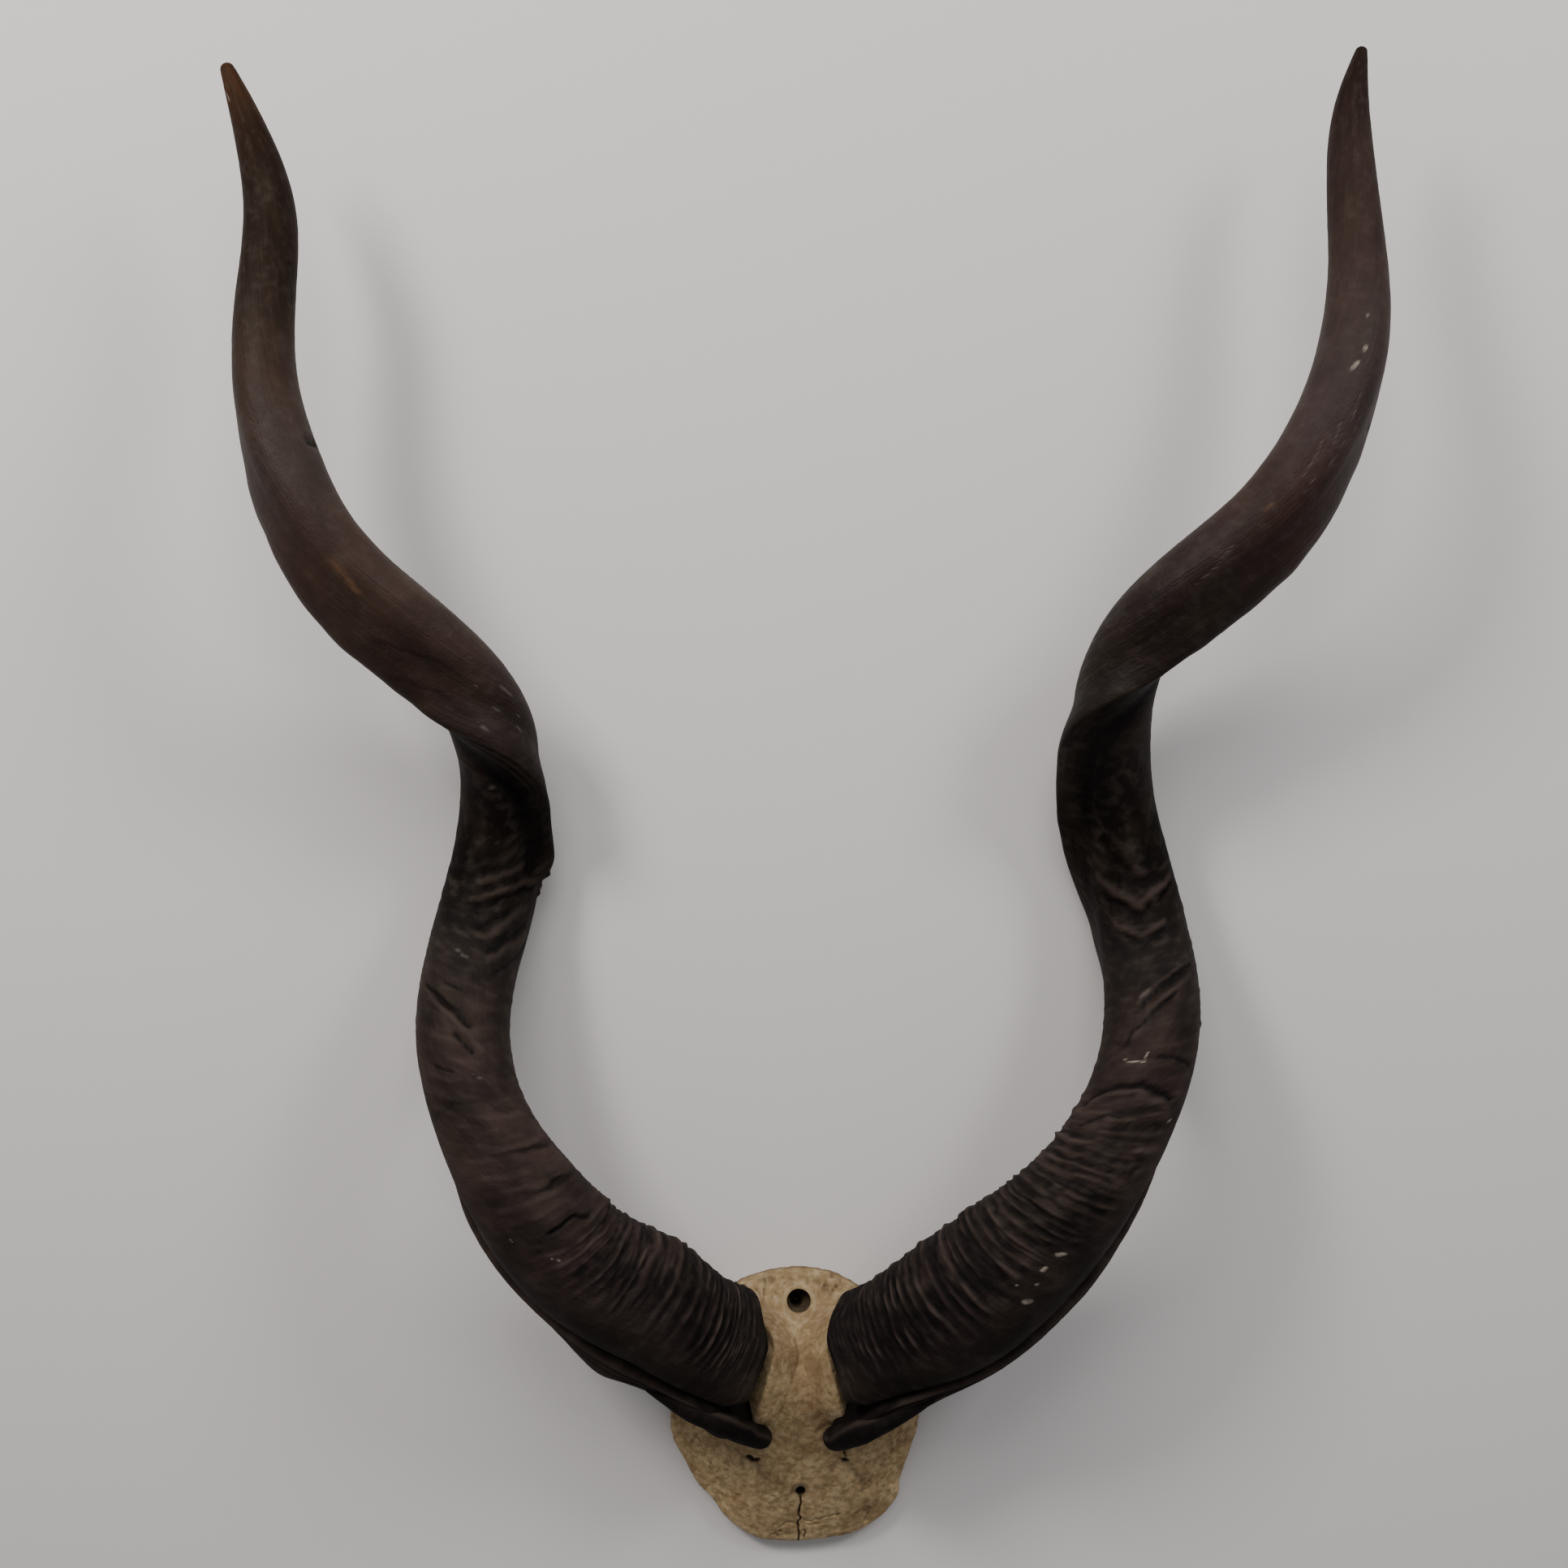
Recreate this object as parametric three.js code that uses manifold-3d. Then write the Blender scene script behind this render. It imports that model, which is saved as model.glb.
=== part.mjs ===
// A pair of greater kudu horns on the piece of skull that carries them, lying on its back.
//
// Three pieces: the skull plate, sawn flat behind, and the two horn sheaths that sit on it.
// Millimetres. X runs across the pair, Y from the brow up to the horn tips, Z out of the forehead.
// The origin is on the flat sawn back, on the middle line, about halfway between the screw holes.

import * as THREE from 'three';
import { mergeVertices } from 'three/addons/utils/BufferGeometryUtils.js';
import Module from 'manifold-3d';

const wasm = await Module();
wasm.setup();

// ---------------------------------------------------------------------------------------------
// Driving dimensions
// ---------------------------------------------------------------------------------------------

// Each horn is a tube of changing section along a corkscrew. One row per station, base to tip:
// x outward from the middle line, y, z of the centre; radius of the round body; height of the
// keel on it; half width of the keel in degrees; turn of the keel about the centre line, from
// the forehead side (0) over the outer lower side (90) to the back (180) and on round.
const RIGHT_ROWS = [
  [-23.7, 7.8, 38, 38.4, 19.2, 14, 68.3],
  [5.7, 21.3, 41, 40.8, 11.6, 14, 82.2],
  [34.1, 29, 46, 42.7, 4.3, 14, 60.3],
  [63.6, 47.4, 57, 39.1, 3, 16, 69.3],
  [93, 71.6, 73, 41.8, 6.9, 17, 94.7],
  [129, 104.9, 89, 39.8, 7.5, 18, 102],
  [167, 147.7, 98, 33.2, 11, 20, 119],
  [197.1, 194.5, 92, 29.4, 10, 22, 142.5],
  [214, 236, 74, 29.6, 10.1, 22, 172.3],
  [218.1, 279, 47, 29.3, 10, 22, 205.2],
  [211.3, 328.9, 28, 27.5, 10.8, 22, 228],
  [198.3, 383.9, 33, 26.3, 8.9, 22, 270],
  [193.8, 437, 55, 25.5, 7.5, 22, 308],
  [204.9, 480.5, 79, 23.3, 7.5, 22, 406],
  [237.4, 516.6, 101, 23.2, 11.4, 24, 449.8],
  [277.6, 552.5, 112, 23.1, 10.1, 26, 465.4],
  [309.6, 599.7, 112, 22.3, 8.1, 26, 483],
  [329.4, 654.9, 104, 20.9, 5, 28, 504.7],
  [335, 709, 93, 17.4, 3, 30, 530],
  [334, 763, 85, 14.5, 2, 30, 550],
  [336, 807, 80, 10, 1, 30, 565],
  [343, 843, 78, 2.6, 0, 30, 580],
];
const LEFT_ROWS = [
  [-19.3, 6.6, 38, 34.2, 16.6, 14, 58.3],
  [11.6, 16.4, 41, 37, 10, 14, 67.3],
  [37.1, 29.9, 46, 42.4, 4.7, 14, 63],
  [64.6, 48, 57, 38.6, 3, 16, 74.3],
  [90.3, 71.7, 73, 40, 10.7, 17, 85.1],
  [129.3, 101.5, 89, 38, 5.4, 18, 104.8],
  [166, 144.7, 98, 34.4, 11, 20, 121.2],
  [193.4, 192.3, 92, 29, 10, 22, 150],
  [207.1, 237, 74, 29, 10.1, 22, 176.2],
  [206.2, 281.1, 47, 29.3, 9.6, 22, 205.1],
  [198.5, 326.4, 28, 28, 13.3, 22, 252],
  [191.5, 375.4, 34, 24.8, 7.6, 22, 268],
  [190.4, 421.2, 55, 26.3, 7.6, 22, 339.5],
  [213.3, 465.8, 80, 23.6, 10.2, 22, 428.8],
  [248.1, 497.9, 103, 23.4, 10.9, 24, 443.4],
  [281.4, 536, 114, 21.4, 9.8, 26, 458.1],
  [305.1, 581, 112, 21.4, 8.1, 26, 477.8],
  [319.9, 633, 104, 19.6, 5, 28, 505.1],
  [322, 686, 95, 17.9, 3, 30, 530],
  [321, 738, 90, 15.7, 2, 30, 550],
  [332, 785, 89, 10.5, 1, 30, 565],
  [348, 828, 90, 2.6, 0, 30, 580],
];
const TIP_ROUNDING = 2.4;      // length of the blunt point beyond the last row

const MOUTH = 48;              // distance along the centre line to the middle of the sheath's rim
const MOUTH_SLANT = 9;         // the rim is askew: its lower side lies nearer the middle line,
const MOUTH_ROUND = 17;        // its upper corner is rounded off,
const MOUTH_BACK = 13;         // and it draws back on the forehead side of the keel,
const MOUTH_BACK_AT = -62;     // at this angle from it
const MOUTH_NICK = 8;           // most of all in the corner where the finger starts
const MOUTH_NICK_AT = -38;
const FINGER = 17;             // the keel runs on past the rim as a finger on the bone
const FINGER_AT = -11;
const HOLLOW = 20;             // the mouth is a hollow cone this deep, filled by the bone
const CLEFT = 3.5;             // depth of the groove that sets the finger off from the body
const CLEFT_AT = -33;          // on the forehead side of the keel, in degrees from it
const TEAR_AT = 395;            // on the left horn the keel is torn off below this growth line,
const TEAR_LENGTH = 60;         // over this length
const RINGED = 330;            // length of horn that carries growth rings
const FIRST_RING = 9;
const RING_PITCH = 9.2;        // rings at the base
const RING_PITCH_END = 13;     // rings where they fade out
const RING_HEIGHT = 2.1;
const SHEAR = 50;              // rings are pulled into a V by the twist, this deep at the most
const SHEAR_LOW = 145;         // the V points to the base on this side, in degrees from the keel

const SECTION = [0, 9, 18, 26, 33, 46, 66, 91, 120, 150, 180];   // half a section, degrees
const UPPER_STEP = 18;         // distance between the sections beyond the rings

// Skull plate: outline of the sawn edge, seen from the forehead side, counter-clockwise.
const OUTLINE = [
  [2, -100], [27, -97], [41, -92], [54, -83], [64, -70], [65, -60], [72, -40], [77, -22],
  [76, 4], [68, 32], [55, 52], [38, 65], [20, 74], [-1, 77], [-20, 75], [-40, 68],
  [-56, 54], [-70, 34], [-79, 10], [-84, -16], [-83, -32], [-76, -46], [-67, -62], [-57, -73],
  [-46, -87], [-28, -98], [-12, -100],
];
const PLATE_MIDDLE = [0, -8];
const EDGE = 9;                // thickness of the sawn edge
const CROWN = 36;              // how far the forehead stands above the edge
const CROWN_TILT = 0.12;       // it stands higher towards the top
const SADDLE = 13;             // rise of the bone between the two horns
const PEDICLE_RADIUS = 33.5;   // bone collar that the sheath sits on
const HOLE_RADIUS = 3.5;       // the two screw holes
const HOLE_TOP = [0, 61];
const HOLE_BOTTOM = [0, -58];
const SINK_RADIUS = 8;         // the upper one is countersunk
const SINK_DEPTH = 6;
const GAP = 0.35;              // between the bone and the sheaths

const HORN_MATERIAL = { color: 0x241c1a, roughness: 0.55, metalness: 0 };
const BONE_MATERIAL = { color: 0xb59c78, roughness: 0.9, metalness: 0 };

// ---------------------------------------------------------------------------------------------
// Tools: a smooth curve through rows, closed shells, booleans
// ---------------------------------------------------------------------------------------------

const rad = THREE.MathUtils.degToRad;
const smooth = THREE.MathUtils.smoothstep;
const bell = (x) => Math.exp(-x * x);

// Natural cubic spline through rows of numbers, measured along the chord of the first three.
function splineThrough(rows) {
  const n = rows.length;
  const width = rows[0].length;
  const at = [0];
  for (let i = 1; i < n; i += 1) {
    const step = Math.hypot(...[0, 1, 2].map((k) => rows[i][k] - rows[i - 1][k]));
    at.push(at[i - 1] + step);
  }
  const bend = rows.map(() => new Array(width).fill(0));
  for (let k = 0; k < width; k += 1) {
    const diag = new Array(n).fill(1);
    const right = new Array(n).fill(0);
    for (let i = 1; i < n - 1; i += 1) {
      const before = at[i] - at[i - 1];
      const after = at[i + 1] - at[i];
      const rise = (rows[i + 1][k] - rows[i][k]) / after - (rows[i][k] - rows[i - 1][k]) / before;
      const carry = i > 1 ? before / diag[i - 1] : 0;
      diag[i] = 2 * (before + after) - carry * before;
      right[i] = 6 * rise - carry * right[i - 1];
    }
    for (let i = n - 2; i > 0; i -= 1) {
      bend[i][k] = (right[i] - (at[i + 1] - at[i]) * bend[i + 1][k]) / diag[i];
    }
  }
  const value = (s) => {
    let j = 0;
    while (j < n - 2 && s > at[j + 1]) j += 1;
    const h = at[j + 1] - at[j];
    const a = (at[j + 1] - s) / h;
    const b = (s - at[j]) / h;
    return rows[j].map((v, k) => a * v + b * rows[j + 1][k]
      + ((a ** 3 - a) * bend[j][k] + (b ** 3 - b) * bend[j + 1][k]) * h * h / 6);
  };
  return { value, length: at[n - 1] };
}

// A closed shell from rings of points, each ring with as many points as the next, and an end
// point before the first ring and after the last.
function shellOf(start, rings, end) {
  const sides = rings[0].length;
  const points = [start, ...rings.flat(), end];
  const index = [];
  const at = (ring, side) => 1 + ring * sides + (side % sides);
  for (let i = 0; i < sides; i += 1) {
    index.push(0, at(0, i + 1), at(0, i));
    for (let j = 0; j < rings.length - 1; j += 1) {
      index.push(at(j, i), at(j, i + 1), at(j + 1, i + 1));
      index.push(at(j, i), at(j + 1, i + 1), at(j + 1, i));
    }
    index.push(at(rings.length - 1, i), at(rings.length - 1, i + 1), points.length - 1);
  }
  const geometry = new THREE.BufferGeometry();
  geometry.setAttribute('position', new THREE.Float32BufferAttribute(points.flat(), 3));
  geometry.setIndex(index);
  return geometry;
}

function solidOf(geometry) {
  const bare = geometry.clone();
  bare.deleteAttribute('normal');
  bare.deleteAttribute('uv');
  const merged = mergeVertices(bare, 1e-4);
  const mesh = new wasm.Mesh({
    numProp: 3,
    vertProperties: new Float32Array(merged.attributes.position.array),
    triVerts: new Uint32Array(merged.index.array),
  });
  mesh.merge();
  return new wasm.Manifold(mesh);
}

function geometryOf(solid) {
  const mesh = solid.getMesh();
  const geometry = new THREE.BufferGeometry();
  geometry.setAttribute('position', new THREE.BufferAttribute(mesh.vertProperties, 3));
  geometry.setIndex(new THREE.BufferAttribute(mesh.triVerts, 1));
  return geometry;
}

// ---------------------------------------------------------------------------------------------
// Horn sheath
// ---------------------------------------------------------------------------------------------

// Distance from the centre line to the surface, at an angle in degrees from the keel: a slightly
// oval round, the keel as a rounded rib, the hollow that runs along either side of it, and the
// cleft above it.
function sectionRadius(angle, radius, keel, width, cleft) {
  const body = radius * (1 + 0.02 * Math.cos(rad(2 * angle - 40)));
  const rib = keel * Math.exp(-(Math.abs(angle / width) ** 1.7));
  const side = Math.max(width * 2.3, 1);
  const hollows = bell((angle + side) / (width * 0.9)) + 0.9 * bell((angle - side) / (width * 0.9));
  return body + rib - 0.17 * keel * hollows - cleft * bell((angle - CLEFT_AT) / 7);
}

// Growth rings: their places along the horn, from the rim on, each a groove and then a crest.
function ringPlaces() {
  const places = [];
  let t = FIRST_RING;
  while (t < RINGED) {
    const pitch = THREE.MathUtils.lerp(RING_PITCH, RING_PITCH_END, t / RINGED);
    const size = 1 + 0.45 * Math.sin(t * 0.9);
    places.push({ t, lift: -0.5 * size }, { t: t + pitch * 0.45, lift: 0.5 * size });
    t += pitch;
  }
  return places;
}

function hornShell(rows, mirror, torn) {
  const curve = splineThrough(rows);
  const angles = [...SECTION, ...SECTION.slice(1, -1).reverse().map((a) => -a)];

  const stations = [{ t: 0, lift: -0.6 }, ...ringPlaces()];
  const last = stations[stations.length - 1].t;
  const left = curve.length - MOUTH;
  const steps = Math.round((left - last) / UPPER_STEP);
  for (let i = 1; i <= steps; i += 1) {
    stations.push({ t: last + (left - last) * i / steps, lift: 0 });
  }
  if (torn) stations.push({ t: TEAR_AT - 1, lift: 0 }, { t: TEAR_AT + 1, lift: 0 });
  stations.sort((a, b) => a.t - b.t);

  // The point of the surface on growth line t, at an angle from the keel.
  const surface = (t, angle, lift) => {
    const turn0 = curve.value(MOUTH)[6];
    const fade = 1 - smooth(t, 0, 85);
    const low = Math.sin(rad(turn0 + angle));
    const slant = MOUTH_ROUND * smooth(-low, 0.55, 1) - MOUTH_SLANT * low
      + MOUTH_BACK * bell((angle - MOUTH_BACK_AT) / 38)
      + MOUTH_NICK * bell((angle - MOUTH_NICK_AT) / 14) - FINGER * bell((angle - FINGER_AT) / 13);
    const shear = SHEAR * smooth(t, 60, 380) * (1 - smooth(t, 400, 520));
    const s = Math.min(MOUTH + t + fade * slant - 0.5 * shear * Math.cos(rad(angle - SHEAR_LOW)),
      curve.length);
    const [x, y, z, radius, keel, width, turn] = curve.value(s);
    const ahead = curve.value(Math.min(s + 0.5, curve.length));
    const behind = curve.value(s - 0.5);
    const along = new THREE.Vector3(ahead[0] - behind[0], ahead[1] - behind[1],
      ahead[2] - behind[2]).normalize();
    const front = new THREE.Vector3(0, 0, 1).addScaledVector(along, -along.z).normalize();
    const side = new THREE.Vector3().crossVectors(along, front);
    const away = smooth(Math.abs(angle), 26, 60);
    const relief = RING_HEIGHT * lift * away * (1 - 0.75 * smooth(t, 120, RINGED));
    const lip = -3 * bell(t / 5);
    const tear = torn && t < TEAR_AT ? 0.8 * smooth(t, TEAR_AT - TEAR_LENGTH, TEAR_AT) : 0;
    const rib = keel * (1 - 0.35 * bell(t / 7)) * (1 - tear);
    const cleft = CLEFT * (1 - smooth(t, 70, 180));
    const r = sectionRadius(angle, radius, rib, width, cleft) + relief + lip;
    const theta = rad(angle + turn);
    const point = new THREE.Vector3(x, y, z)
      .addScaledVector(front, r * Math.cos(theta))
      .addScaledVector(side, r * Math.sin(theta));
    return [point.x * mirror, point.y, point.z];
  };

  const rings = stations.map(({ t, lift }) => angles.map((angle) => surface(t, angle, lift)));
  const base = curve.value(MOUTH + HOLLOW);
  const tip = curve.value(curve.length);
  const before = curve.value(curve.length - 1);
  const reach = [0, 1, 2].map((k) => tip[k] + (tip[k] - before[k]) * TIP_ROUNDING);
  const start = [base[0] * mirror, base[1], base[2]];
  const end = [reach[0] * mirror, reach[1], reach[2]];
  if (mirror < 0) rings.forEach((ring) => ring.reverse());
  return shellOf(start, rings, end);
}

// ---------------------------------------------------------------------------------------------
// Skull plate
// ---------------------------------------------------------------------------------------------

// Height of the bone above the sawn back. u runs from 0 in the middle of the plate to 1 at its
// edge. On either side a collar rises to the rim of the horn and falls away beneath it.
function boneHeight(x, y, u) {
  let height = EDGE + (CROWN + CROWN_TILT * y) * (1 - u ** 2.2);
  height += SADDLE * bell((y - 15) / 36) * bell(x / 36) * (1 - u ** 4);
  for (const sign of [-1, 1]) {
    const dx = sign * x - 33;
    const dy = y - 29;
    const along = dx * 0.85 + dy * 0.527;
    const across = dx * 0.527 - dy * 0.85;
    const rim = -15 - 0.28 * across + 11 * smooth(-across, 19, 36);
    const ridge = 42 + 0.25 * rim + Math.sqrt(Math.max(PEDICLE_RADIUS ** 2 - across ** 2, 0));
    const fall = 1.0 * Math.max(rim - along, 0) + 1.3 * Math.max(along - rim - 2, 0);
    const collar = ridge - fall;
    const inside = 1 - smooth(Math.abs(across), 26, 36);
    height = Math.max(height, height + (collar - height) * inside * (1 - u ** 8));
  }
  return height;
}

function plateShell(lift, grow) {
  const outline = new THREE.CatmullRomCurve3(
    OUTLINE.map(([x, y]) => new THREE.Vector3(x, y, 0)), true, 'catmullrom', 0.5);
  const count = OUTLINE.length * 2;
  const ring = (u, height) => Array.from({ length: count }, (_, i) => {
    const edge = outline.getPoint(i / count);
    const wave = 1 + 0.008 * Math.sin(i * 2.3);
    const scale = u * (u > 0.9 ? wave : 1);
    const dx = edge.x - PLATE_MIDDLE[0];
    const dy = edge.y - PLATE_MIDDLE[1];
    const more = grow * u / Math.hypot(dx, dy);
    const x = PLATE_MIDDLE[0] + dx * (scale + more);
    const y = PLATE_MIDDLE[1] + dy * (scale + more);
    return [x, y, height === undefined ? boneHeight(x, y, Math.min(u, 1)) + lift : height];
  });
  const rings = [ring(0.985, -lift * 3), ring(1, 2), ring(1, EDGE - 3 + lift)];
  for (const u of [0.975, 0.92, 0.84, 0.75, 0.65, 0.55, 0.45, 0.35, 0.25, 0.14]) {
    rings.push(ring(u));
  }
  const [mx, my] = PLATE_MIDDLE;
  return shellOf([mx, my, -lift * 3], rings, [mx, my, boneHeight(mx, my, 0) + lift]);
}

function screwHole([x, y], sinkAt) {
  const profile = [[0, -10], [HOLE_RADIUS, -10], [HOLE_RADIUS, 80], [0, 80]];
  if (sinkAt > 0) {
    profile.splice(2, 1, [HOLE_RADIUS, sinkAt - SINK_DEPTH],
      [SINK_RADIUS, sinkAt], [SINK_RADIUS, 80]);
  }
  const cutter = new THREE.LatheGeometry(profile.map(([r, z]) => new THREE.Vector2(r, z)), 16);
  cutter.rotateX(Math.PI / 2);
  cutter.translate(x, y, 0);
  return solidOf(cutter);
}

// ---------------------------------------------------------------------------------------------
// Assembly
// ---------------------------------------------------------------------------------------------

const group = new THREE.Group();

function addPiece(name, solid, material) {
  const mesh = new THREE.Mesh(geometryOf(solid), new THREE.MeshStandardMaterial(material));
  mesh.name = name;
  group.add(mesh);
}

const sinkHeight = boneHeight(...HOLE_TOP, 0.81);
const plate = solidOf(plateShell(0, 0))
  .subtract(screwHole(HOLE_TOP, sinkHeight))
  .subtract(screwHole(HOLE_BOTTOM, 0));
addPiece('skull_plate', plate, BONE_MATERIAL);

// The bone, swollen by the gap, is what each sheath is cut away from.
const boneCutter = solidOf(plateShell(GAP, GAP));
for (const [name, rows, mirror] of [['horn_right', RIGHT_ROWS, 1], ['horn_left', LEFT_ROWS, -1]]) {
  const torn = name === 'horn_left';
  const parts = solidOf(hornShell(rows, mirror, torn)).subtract(boneCutter).decompose();
  parts.sort((a, b) => b.volume() - a.volume());
  addPiece(name, parts[0], HORN_MATERIAL);
}

export default group;
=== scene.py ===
# %% [markdown]
# # A pair of kudu horns on their skull plate
#
# A greater kudu bull carries two corkscrew horns. Each is a sheath of keratin, the stuff of
# nails and hooves, that grew over a core of bone: ringed and rough near the skull, where it is
# youngest, and worn smooth towards the tip, which is the oldest part. This pair was sawn off
# with the piece of skull between and below the horns, flat behind, and lies on that flat back.
#
# This lesson builds the three pieces, the skull plate and the two horns, as surfaces worked out
# with numpy: each is a function of two parameters on a grid, and the whole grid is computed at
# once. The finishes are node materials that start from what bone and keratin really are.

# %% Start
import math

import bpy
import numpy as np
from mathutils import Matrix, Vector


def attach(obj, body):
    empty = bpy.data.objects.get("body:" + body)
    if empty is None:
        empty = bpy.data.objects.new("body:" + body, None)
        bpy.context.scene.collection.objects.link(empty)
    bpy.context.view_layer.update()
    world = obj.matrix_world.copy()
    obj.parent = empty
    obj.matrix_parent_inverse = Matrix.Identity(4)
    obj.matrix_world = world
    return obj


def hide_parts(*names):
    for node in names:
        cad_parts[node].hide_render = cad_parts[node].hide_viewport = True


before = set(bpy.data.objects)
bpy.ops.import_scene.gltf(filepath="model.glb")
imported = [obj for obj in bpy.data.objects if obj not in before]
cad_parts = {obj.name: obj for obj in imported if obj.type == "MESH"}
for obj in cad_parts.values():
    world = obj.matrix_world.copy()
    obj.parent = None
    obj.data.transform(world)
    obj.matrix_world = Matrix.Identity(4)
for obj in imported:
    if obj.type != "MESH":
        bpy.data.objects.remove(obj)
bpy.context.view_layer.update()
MM = 0.001

# %% [markdown]
# ## Camera, light and floor
#
# The pair lies on its back, so the camera hangs above it and looks straight down. A lens of
# 40 mm from a little over a metre gives the slight widening of near things that makes the bends
# that rise towards the camera look stouter than the ones that lie on the floor. Two broad lamps,
# one on each side, give each horn a soft shadow on either side of it, and a big dim one overhead
# fills in, as a white ceiling does.

# %% Camera
camera_data = bpy.data.cameras.new("camera")
camera_data.lens = 40.0
camera_data.sensor_width = 36.0
camera = bpy.data.objects.new("camera", camera_data)
camera.location = (-0.0104, 0.393, 1.143)
bpy.context.scene.collection.objects.link(camera)
bpy.context.scene.camera = camera
print("camera", tuple(round(v, 3) for v in camera.location), "looking straight down")


# %% Lamps
def lamp(name, place, aim, size, watts, tint):
    """A square area lamp at place, turned so that its face looks at aim."""
    data = bpy.data.lights.new(name, "AREA")
    data.shape = "SQUARE"
    data.size = size
    data.energy = watts
    data.color = tint
    thing = bpy.data.objects.new(name, data)
    thing.location = place
    thing.rotation_euler = (Vector(aim) - Vector(place)).to_track_quat("-Z", "Y").to_euler()
    bpy.context.scene.collection.objects.link(thing)
    return thing


middle = (0.0, 0.36, 0.05)
lamp("lamp_left", (-1.15, 1.55, 1.3), middle, 0.5, 24.0, (1.0, 0.985, 0.965))
lamp("lamp_right", (1.4, 1.6, 1.3), middle, 0.55, 17.0, (0.98, 0.99, 1.0))
lamp("lamp_over", (-0.1, 2.0, 1.7), middle, 1.3, 22.0, (1.0, 0.99, 0.98))

world = bpy.data.worlds.new("soft_room")
world.use_nodes = True
world.node_tree.nodes["Background"].inputs["Color"].default_value = (0.93, 0.95, 1.0, 1.0)
world.node_tree.nodes["Background"].inputs["Strength"].default_value = 0.24
bpy.context.scene.world = world


# %% Colours and nodes
def linear(code):
    """An sRGB hex colour as linear RGBA: each channel c is c/12.92 below 0.04045, and
    ((c + 0.055)/1.055) to the power 2.4 above."""
    c = np.array([int(code[i:i + 2], 16) for i in (1, 3, 5)]) / 255.0
    c = np.where(c <= 0.04045, c / 12.92, ((c + 0.055) / 1.055) ** 2.4)
    return (*c.tolist(), 1.0)


def node(tree, kind, links=None, **settings):
    """Adds a node of that kind. Settings whose name is an input's set the input; others set the
    node's own property. links maps an input's name or number to the socket that feeds it."""
    made = tree.nodes.new(kind)
    for name, value in settings.items():
        label = name.replace("_", " ")
        if hasattr(made, name):
            setattr(made, name, value)
        else:
            made.inputs[label].default_value = value
    for key, source in (links or {}).items():
        tree.links.new(source, made.inputs[key])
    return made


def attributes(tree, names, output="Fac"):
    """The sockets that give the named attributes of the mesh."""
    kind = "ShaderNodeAttribute"
    return [node(tree, kind, attribute_name=name).outputs[output] for name in names]


def material(name):
    """An empty material with a Principled shader wired to its output."""
    made = bpy.data.materials.new(name)
    made.use_nodes = True
    tree = made.node_tree
    return made, tree, tree.nodes["Principled BSDF"]


# %% Floor
floor_paint, tree, shader = material("pale_matt_floor")
shader.inputs["Base Color"].default_value = linear("#dfd9d6")
shader.inputs["Roughness"].default_value = 0.75
floor_mesh = bpy.data.meshes.new("floor")
floor_mesh.from_pydata([(-6, -6, 0), (6, -6, 0), (6, 6, 0), (-6, 6, 0)], [], [(0, 1, 2, 3)])
floor_mesh.materials.append(floor_paint)
floor = bpy.data.objects.new("floor", floor_mesh)
bpy.context.scene.collection.objects.link(floor)
print("floor at z = 0")

# %% [markdown]
# ## Noise and grids
#
# Nothing that grew is even. Rings wander, fibres start and stop, bone is pitted. All of that
# comes from value noise: random numbers on a lattice, blended smoothly in between. It is worked
# out here for whole arrays of points, with a lattice spacing given in millimetres, so that each
# unevenness has the size that it has on the real thing.


# %% Value noise
def lattice(cells, seed):
    """A repeatable random number from -1 to 1 for each whole-number cell: the cell's three
    coordinates are multiplied by large odd numbers, mixed by shifts and multiplied again."""
    c = cells.astype(np.int64).astype(np.uint32)
    h = c[..., 0] * np.uint32(374761393) + c[..., 1] * np.uint32(668265263)
    h = h + c[..., 2] * np.uint32(2147483647) + np.uint32(seed * 974634777 % 4294967295)
    h = (h ^ (h >> np.uint32(13))) * np.uint32(1274126177)
    h = (h ^ (h >> np.uint32(16))) * np.uint32(2246822519)
    h = h ^ (h >> np.uint32(15))
    return h.astype(np.float64) / 2147483647.5 - 1.0


def noise(points, spacing, seed=0):
    """Value noise from -1 to 1 at points in mm: lattice numbers at the eight corners of each
    point's cell, blended by the smooth step 3f^2 - 2f^3 of the place within the cell."""
    p = np.asarray(points, float) / spacing
    cell = np.floor(p)
    f = p - cell
    f = f * f * (3 - 2 * f)
    total = 0.0
    for corner in np.ndindex(2, 2, 2):
        weight = np.prod(np.where(np.array(corner) == 1, f, 1 - f), axis=-1)
        total = total + weight * lattice(cell + np.array(corner), seed)
    return total


def layered(points, spacing, octaves, seed=0):
    """Noise of falling size: each layer has half the spacing and half the height."""
    total = sum(noise(points, spacing / 2 ** k, seed + k) / 2 ** k for k in range(octaves))
    return total / sum(0.5 ** k for k in range(octaves))


def smooth(x, low, high):
    """0 below low, 1 above high, and 3f^2 - 2f^3 of the way in between."""
    f = np.clip((np.asarray(x, float) - low) / (high - low), 0, 1)
    return f * f * (3 - 2 * f)


def window(x, rise, full, ebb, end):
    """0 up to rise, 1 from full to ebb and 0 again from end on, with smooth steps in between."""
    return smooth(x, rise, full) * (1 - smooth(x, ebb, end))


def bell(x):
    """exp(-x^2), a smooth bump of height 1 about 0."""
    return np.exp(-np.asarray(x, float) ** 2)


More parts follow.
